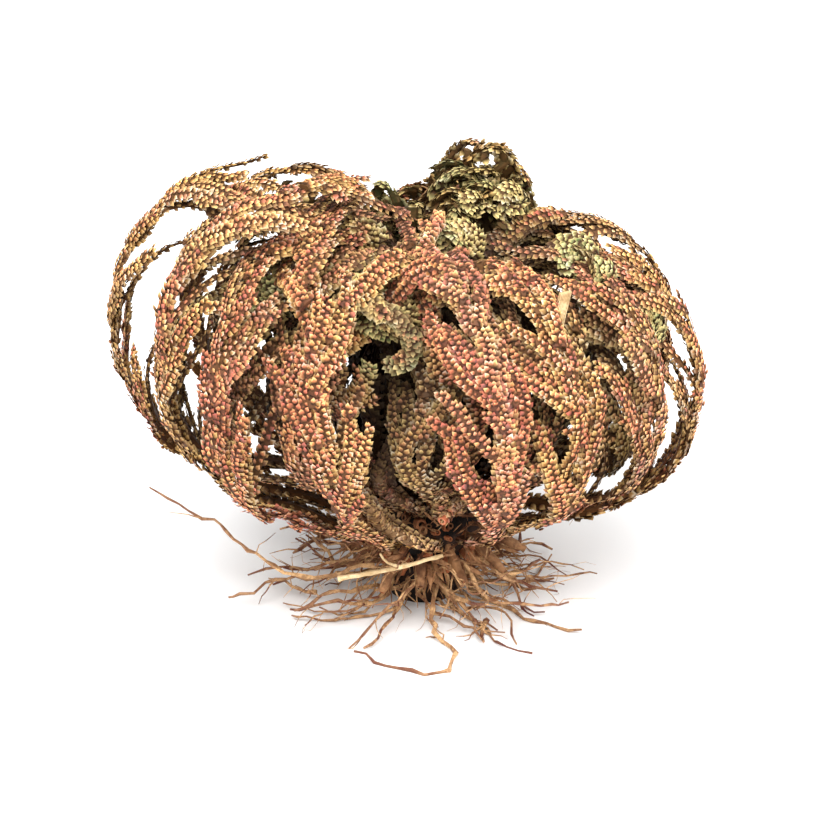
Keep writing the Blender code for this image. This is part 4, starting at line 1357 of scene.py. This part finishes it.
class PLANT_OT_broken_stems(bpy.types.Operator):
    """Model the three broken stems in front, with hollow ends and a few old scales"""

    bl_idname = "plant.broken_stems"
    bl_label = "Broken stems"

    def execute(self, context):
        leaf = scale_leaf()
        for name in frond_names("broken_frond"):
            chance = np.random.default_rng(len(name))
            strand = next(s for s in settled() if s.owner == name)
            points, tangent, outward, across, wide, length = line_at(strand, 0.5 * MM)
            heap = Heap()
            share = np.linspace(0, 1, len(points))
            ridged = 1 + 0.08 * np.sin(share * length / MM * 5.5) + chance.uniform(-0.06, 0.06, len(points))
            pointed = name.endswith("pointed")
            taper = np.minimum(1, (1 - share) * 2.4 + 0.12) if pointed else np.ones(len(points))
            tint = np.stack([0.9 * (share > 0.9), 0 * share, 0.75 * (share < 0.9)], axis=1)
            heap.tube(
                points, outward, across, 0.6 * wide * ridged * taper, 0.46 * wide * ridged * taper, 0.5, tint,
                sides=12, hollow=0 if pointed else 1.6 * MM,
            )
            worn = strand._replace(radii=strand.radii * 0.85)
            leafy(
                heap, worn, context.scene.plant_leaves, chance, leaf, 0.35,
                steady(0.0), 0.5, 0.9, ROWS,
            )
            count = SCAR_COUNT
            place = chance.uniform(0.02, 0.9 if pointed else 0.97, count) * (len(points) - 1)
            low = place.astype(int)
            turn = chance.uniform(0, 2 * math.pi, count)[:, None]
            facing = across[low] * np.cos(turn) + outward[low] * np.sin(turn)
            half = (wide * taper)[low][:, None]
            base = points[low] + across[low] * half * 0.58 * np.cos(turn)
            base = base + outward[low] * half * 0.46 * np.sin(turn)
            ahead = unit(tangent[low] + facing * 0.1 + chance.normal(0, 0.18, (count, 3)))
            beside = unit(np.cross(ahead, facing))
            axes = np.stack([beside, ahead, np.cross(beside, ahead)], axis=1)
            size = chance.uniform(0.6, 1.2, count) * MM
            sizes = np.stack([size * 0.7, size, size * 0.7], axis=1)
            tints = [chance.uniform(0, 0.6, count), 0 * size, chance.uniform(0.2, 1.1, count)]
            tints = np.stack(tints, axis=1)
            heap.stamp(leaf, base, axes, sizes, chance.random(count), tints)
            heap.piece("dressed_" + name, finish("scales"), "bare_stem", name)
        return {"FINISHED"}


class PLANT_OT_straw(bpy.types.Operator):
    """Model the ribbed blade of straw between the fronds"""

    bl_idname = "plant.straw"
    bl_label = "Straw blade"

    def execute(self, context):
        strand = next(s for s in settled() if s.owner == "straw_blade")
        points, _, outward, across, wide, _ = line_at(strand, 1.2 * MM)
        heap = Heap()
        heap.tube(points, outward, across, 0.98 * wide, 0.16 * wide, 0.4, np.zeros(3), sides=10)
        for aside in np.linspace(-0.8, 0.8, 7):
            for face in (1, -1):
                rib = points + across * wide[:, None] * aside + outward * wide[:, None] * 0.15 * face
                heap.tube(rib, outward, across, 0.09 * wide, 0.09 * wide, 1.0, np.zeros(3), sides=5)
        heap.piece("ribbed_straw_blade", finish("straw"), "straw", "straw_blade")
        return {"FINISHED"}


def crown_spots(count, lowest, highest, chance):
    """(places, outward normals) of this many spots around the crown, between two heights from -1 to 1."""
    perch = np.degrees(np.arcsin(chance.uniform(lowest, highest, count)))
    azimuth = np.arange(count) * SPIRAL_TURN + chance.uniform(-10, 10, count)
    seats = [crown_seat(a, p) for a, p in zip(azimuth, perch)]
    return np.array([seat for seat, normal in seats]), np.array([normal for seat, normal in seats])


def roughen(shape, lumps, strength, direction):
    """Swell the surface of the shape, which is the active object, into lumps."""
    swell = shape.modifiers.new("lumps", "DISPLACE")
    swell.texture, swell.strength, swell.mid_level, swell.direction = lumps, strength, 0.6, direction
    bpy.ops.object.modifier_apply(modifier="lumps")
    bpy.ops.object.shade_smooth()


def knotted(points, chance, kink, pitch):
    """A root's line with small kinks between its bends."""
    line = resampled(points, pitch)
    offset = np.cumsum(chance.normal(0, kink, line.shape), axis=0)
    offset -= np.linspace(0, 1, len(line))[:, None] * offset[-1]
    return line + offset


def rooted(heap, points, radius, chance, rootlets):
    """One root with its joints and hair roots."""
    line = knotted(points, chance, 0.36 * MM, 1.5 * MM)
    tangent, outward, across = frames(line, 2)
    share = np.linspace(0, 1, len(line))
    swell = 1 + 0.45 * (np.arange(len(line)) % 3 == 0) + chance.uniform(-0.12, 0.12, len(line))
    radii = radius * swell * (1 - 0.55 * share)
    line[:, 2] = np.maximum(line[:, 2], radii)
    tip = chance.uniform(0.3, 1.0)
    tint = np.stack([np.clip((share - 0.42) * 2.4, 0, 0.95) * tip, 0 * share, 0 * share], axis=1)
    heap.tube(line, outward, across, radii, radii, chance.uniform(0, 1), tint, sides=5)
    for _ in range(rootlets):
        start = chance.integers(1, len(line) - 1)
        heading = unit(tangent[start] * 0.8 + unit(chance.normal(0, 1, 3)) * 0.9)
        steps = [line[start]]
        for _ in range(4):
            heading = unit(heading + chance.normal(0, 0.3, 3) - np.array([0, 0, 0.06]))
            steps.append(steps[-1] + heading * chance.uniform(0.7, 1.6) * MM)
        hair = np.array(steps)
        thin = radii[start] * np.array([0.5, 0.42, 0.36, 0.28, 0.16])
        hair[:, 2] = np.maximum(hair[:, 2], thin)
        _, outward_hair, across_hair = frames(hair, 1)
        reddish = np.array([0.2 * tip, 0, 0])
        heap.tube(hair, outward_hair, across_hair, thin, thin, chance.uniform(0, 1), reddish, sides=3)


class PLANT_OT_roots(bpy.types.Operator):
    """Model the wiry roots with their joints, side roots and hair roots"""

    bl_idname = "plant.roots"
    bl_label = "Roots"

    def execute(self, context):
        numbers = context.scene.plant_roots
        chance = np.random.default_rng(SEED)
        heap = Heap()
        thick = [s for s in settled() if s.owner == "rootstock" and s.radii[0] < 0.8 * MM]
        for strand in thick:
            rooted(heap, strand.points, chance.uniform(0.27, 0.38) * MM, chance, numbers.rootlets)
        draw = random.Random(SEED + 1)
        for k in range(numbers.fine_roots):
            azimuth = k * SPIRAL_TURN + draw.uniform(-20, 20)
            height = draw.uniform(1.5, 9) * MM
            dip = draw.uniform(-16, 34) + 0.8 * height / MM
            route = root_route(azimuth, dip, draw.uniform(9, 22) * MM, height, draw)
            rooted(heap, route, draw.uniform(0.13, 0.26) * MM, chance, numbers.rootlets)
        heap.piece("wiry_roots", finish("root"), "root_wood", "rootstock", 70)
        return {"FINISHED"}


def add_stubs(heap, count, chance):
    """The hollow broken stem bases all over the crown."""
    stub = hollow_stub()
    seats, normals = crown_spots(count, -0.95, 1, chance)
    base = seats - normals * 1.2 * MM
    up = unit(normals + chance.normal(0, 0.28, (count, 3)))
    side = unit(np.cross(up, chance.normal(0, 1, (count, 3))))
    axes = np.stack([side, np.cross(up, side), up], axis=1)
    radius = chance.uniform(0.35, 0.85, count) * MM
    low = normals[:, 2] < 0.35
    length = chance.uniform(1.8, 4.6, count) * MM * np.where(low, 1.25, 0.8)
    sizes = np.stack([radius, radius * chance.uniform(0.7, 1.0, count), length], axis=1)
    tints = np.stack([chance.uniform(0, 0.25, count), 0 * radius, 0 * radius], axis=1)
    heap.stamp(stub, base, axes, sizes, chance.random(count), tints)


def add_dead_bases(heap, chance):
    """The longer dead stem bases between the fronds and the roots."""
    for strand in [s for s in settled() if s.owner == "rootstock" and s.radii[0] > 0.8 * MM]:
        points, _, outward, across, wide, _ = line_at(strand, 0.8 * MM)
        ridges = 1 + 0.16 * np.sin(np.arange(len(points)) * 1.9) + chance.uniform(-0.1, 0.1, len(points))
        swell = 0.62 * wide * ridges
        tint = np.array([0.05, 0, 0])
        heap.tube(
            points, outward, across, swell, swell, chance.random(), tint, sides=9, hollow=1.0 * MM
        )


def add_bracts(heap, count, chance):
    """The papery bracts between the stem bases."""
    seats, normals = crown_spots(count, -0.75, 0.95, chance)
    ahead = unit(normals + chance.normal(0, 0.5, (count, 3)) + np.array([0, 0, 0.1]))
    beside = unit(np.cross(ahead, chance.normal(0, 1, (count, 3))))
    axes = np.stack([beside, ahead, np.cross(beside, ahead)], axis=1)
    size = chance.uniform(1.8, 4.4, count) * MM
    base = seats + normals * chance.uniform(-0.4, 1.6, count)[:, None] * MM
    tints = np.zeros((count, 3))
    sizes = np.stack([size * chance.uniform(0.10, 0.24, count), size, size * 0.5], axis=1)
    heap.stamp(scale_leaf(), base, axes, sizes, 0.42 * chance.random(count), tints, warp=0.15)


def model_crown_wood(lumps):
    """The knob of root wood under the stem bases."""
    bpy.ops.object.select_all(action="DESELECT")
    bpy.ops.mesh.primitive_uv_sphere_add(segments=40, ring_count=24, radius=1, location=(0, 0, 0))
    crown = bpy.context.object
    crown.name = crown.data.name = "crown_wood"
    begin_edit()
    choose(crown, lambda place: True)
    bpy.ops.transform.resize(value=tuple(CROWN_RADII * 0.93))
    bpy.ops.transform.translate(value=tuple(CROWN_CENTRE))
    choose(crown, lambda place: place.z < 6 * MM)
    bpy.ops.transform.resize(value=(0.92, 0.92, 1))
    bpy.ops.object.mode_set(mode="OBJECT")
    roughen(crown, lumps, 1.4 * MM, "NORMAL")
    # Painted shade: the crown wood is near black, as it shows only in the shaded gaps between the stem bases
    crown.data.materials.append(finish("hollow"))
    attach(crown, BODY)
    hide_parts("rootstock")


def model_stump(lumps):
    """The stump of root wood, down to its foot on the floor."""
    bpy.ops.object.select_all(action="DESELECT")
    bpy.ops.mesh.primitive_cylinder_add(
        vertices=26, radius=STUMP_RADIUS, depth=STUMP_HEIGHT, location=(0, 0, STUMP_HEIGHT / 2)
    )
    stump = bpy.context.object
    stump.name = stump.data.name = "stump"
    bpy.ops.object.transform_apply(location=True, rotation=True, scale=True)
    bpy.ops.object.mode_set(mode="EDIT")
    bpy.ops.mesh.select_all(action="SELECT")
    bpy.ops.mesh.subdivide(number_cuts=5)
    bpy.ops.object.mode_set(mode="OBJECT")
    choose(stump, lambda place: place.z < 0.5 * MM)
    bpy.ops.transform.resize(value=(0.9, 0.9, 1))
    bpy.ops.object.mode_set(mode="OBJECT")
    roughen(stump, lumps, 1.2 * MM, "X")
    # Painted shade: the stump is near black, as it stands in the shade under the ball
    stump.data.materials.append(finish("hollow"))
    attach(stump, BODY)
    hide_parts("rootstock")


class PLANT_OT_crown(bpy.types.Operator):
    """Model the crown: a knob of root wood and old stem bases with hollow broken ends"""

    bl_idname = "plant.crown"
    bl_label = "Crown"

    def execute(self, context):
        chance = np.random.default_rng(SEED)
        heap = Heap()
        add_stubs(heap, context.scene.plant_roots.stem_bases, chance)
        add_dead_bases(heap, chance)
        add_bracts(heap, BRACT_COUNT, chance)
        heap.piece("old_stem_bases", finish("bark"), "root_wood", "rootstock", 45)
        lumps = bpy.data.textures.new("crown_lumps", "CLOUDS")
        lumps.noise_scale = 2.2 * MM
        model_crown_wood(lumps)
        model_stump(lumps)
        return {"FINISHED"}


class PLANT_OT_twig(bpy.types.Operator):
    """Model the pale loose twig that lies across the crown"""

    bl_idname = "plant.twig"
    bl_label = "Twig"

    def execute(self, context):
        heap = Heap()
        chance = np.random.default_rng(5)
        for knots, thick in ((TWIG, 0.34), (TWIG_FORK, 0.22)):
            line = knotted(smooth_through(np.array(knots) * MM, 4), chance, 0.05 * MM, 0.9 * MM)
            _, outward, across = frames(line, 1)
            radii = thick * MM * (1 + 0.3 * (np.arange(len(line)) % 5 == 0)) * np.linspace(1, 0.7, len(line))
            heap.tube(line, outward, across, radii, radii, 0.9, np.zeros(3), sides=7)
        heap.piece("pale_twig", finish("straw"), "straw", None)
        return {"FINISHED"}


class PLANT_OT_studio(bpy.types.Operator):
    """Set the plant on a pale floor under soft lights, with the camera in front"""

    bl_idname = "plant.studio"
    bl_label = "Studio"

    def execute(self, context):
        studio = context.scene.plant_studio
        bpy.ops.object.select_all(action="DESELECT")
        bpy.ops.mesh.primitive_plane_add(size=8, location=(0, 0, 0))
        floor = bpy.context.object
        floor.name = "studio_floor"
        made, tree, shader = new_material("pale_floor", 0.9, 0.1)
        speck = noise(tree, 3, 2)
        shade = tuple(0.985 * value for value in studio.floor_colour)
        tree.links.new(mixed(tree, speck, shade, tuple(studio.floor_colour)), shader.inputs["Base Color"])
        floor.data.materials.append(made)
        for place, size, power in (
            ((-0.14, -0.42, 0.8), 0.8, studio.key_power),
            ((0.5, -0.3, 0.5), 0.5, studio.key_power * 0.25),
        ):
            bpy.ops.object.light_add(type="AREA", location=place)
            light = bpy.context.object
            light.data.size, light.data.energy = size, power
            aim(light, (0, 0, 0.03))
        world = bpy.data.worlds.new("white_surround")
        world.use_nodes = True
        world.node_tree.nodes["Background"].inputs["Color"].default_value = (1, 1, 1, 1)
        world.node_tree.nodes["Background"].inputs["Strength"].default_value = studio.sky
        context.scene.world = world
        context.scene.view_settings.view_transform = "Standard"
        rise = math.radians(studio.elevation)
        target = np.array(PICTURE_MIDDLE)
        place = target + studio.distance * np.array([0, -math.cos(rise), math.sin(rise)])
        bpy.ops.object.camera_add(location=tuple(place))
        camera = bpy.context.object
        aim(camera, PICTURE_MIDDLE)
        camera.data.lens = camera.data.sensor_width * PIXELS_PER_METRE * studio.distance / PICTURE_WIDTH
        camera.data.clip_start, camera.data.clip_end = 0.01, 20
        context.scene.camera = camera
        return {"FINISHED"}


def aim(thing, target):
    """Turn a light or the camera towards the target."""
    way = Vector(target) - thing.location
    thing.rotation_euler = way.to_track_quat("-Z", "Y").to_euler()


class PLANT_PT_panel(bpy.types.Panel):
    """The plant's pieces and settings in the sidebar"""

    bl_idname = "PLANT_PT_panel"
    bl_label = "Dried resurrection plant"
    bl_space_type = "VIEW_3D"
    bl_region_type = "UI"
    bl_category = "Resurrection Plant"

    def draw(self, context):
        scene = context.scene
        for operator in OPERATORS:
            self.layout.operator(operator.bl_idname)
        for group in (scene.plant_leaves, scene.plant_roots, scene.plant_colours, scene.plant_studio):
            box = self.layout.box()
            for name in group.__annotations__:
                box.prop(group, name)


OPERATORS = (
    PLANT_OT_outer_fronds,
    PLANT_OT_inner_fronds,
    PLANT_OT_curls,
    PLANT_OT_curled_tips,
    PLANT_OT_upright_fronds,
    PLANT_OT_front_fronds,
    PLANT_OT_broken_stems,
    PLANT_OT_straw,
    PLANT_OT_roots,
    PLANT_OT_crown,
    PLANT_OT_twig,
    PLANT_OT_studio,
)
GROUPS = {
    "plant_colours": PlantColours,
    "plant_leaves": LeafSettings,
    "plant_roots": RootSettings,
    "plant_studio": StudioSettings,
}


def register():
    for group in GROUPS.values():
        bpy.utils.register_class(group)
    for name, group in GROUPS.items():
        setattr(bpy.types.Scene, name, bpy.props.PointerProperty(type=group))
    for operator in OPERATORS:
        bpy.utils.register_class(operator)
    bpy.utils.register_class(PLANT_PT_panel)


def unregister():
    bpy.utils.unregister_class(PLANT_PT_panel)
    for operator in reversed(OPERATORS):
        bpy.utils.unregister_class(operator)
    for name in GROUPS:
        delattr(bpy.types.Scene, name)
    for group in reversed(GROUPS.values()):
        bpy.utils.unregister_class(group)


def main():
    register()
    bpy.ops.plant.outer_fronds()
    bpy.ops.plant.inner_fronds()
    bpy.ops.plant.curls()
    bpy.ops.plant.curled_tips()
    bpy.ops.plant.upright_fronds()
    bpy.ops.plant.front_fronds()
    bpy.ops.plant.broken_stems()
    bpy.ops.plant.straw()
    bpy.ops.plant.roots()
    bpy.ops.plant.crown()
    bpy.ops.plant.twig()
    bpy.ops.plant.studio()


if __name__ == "__main__":
    main()
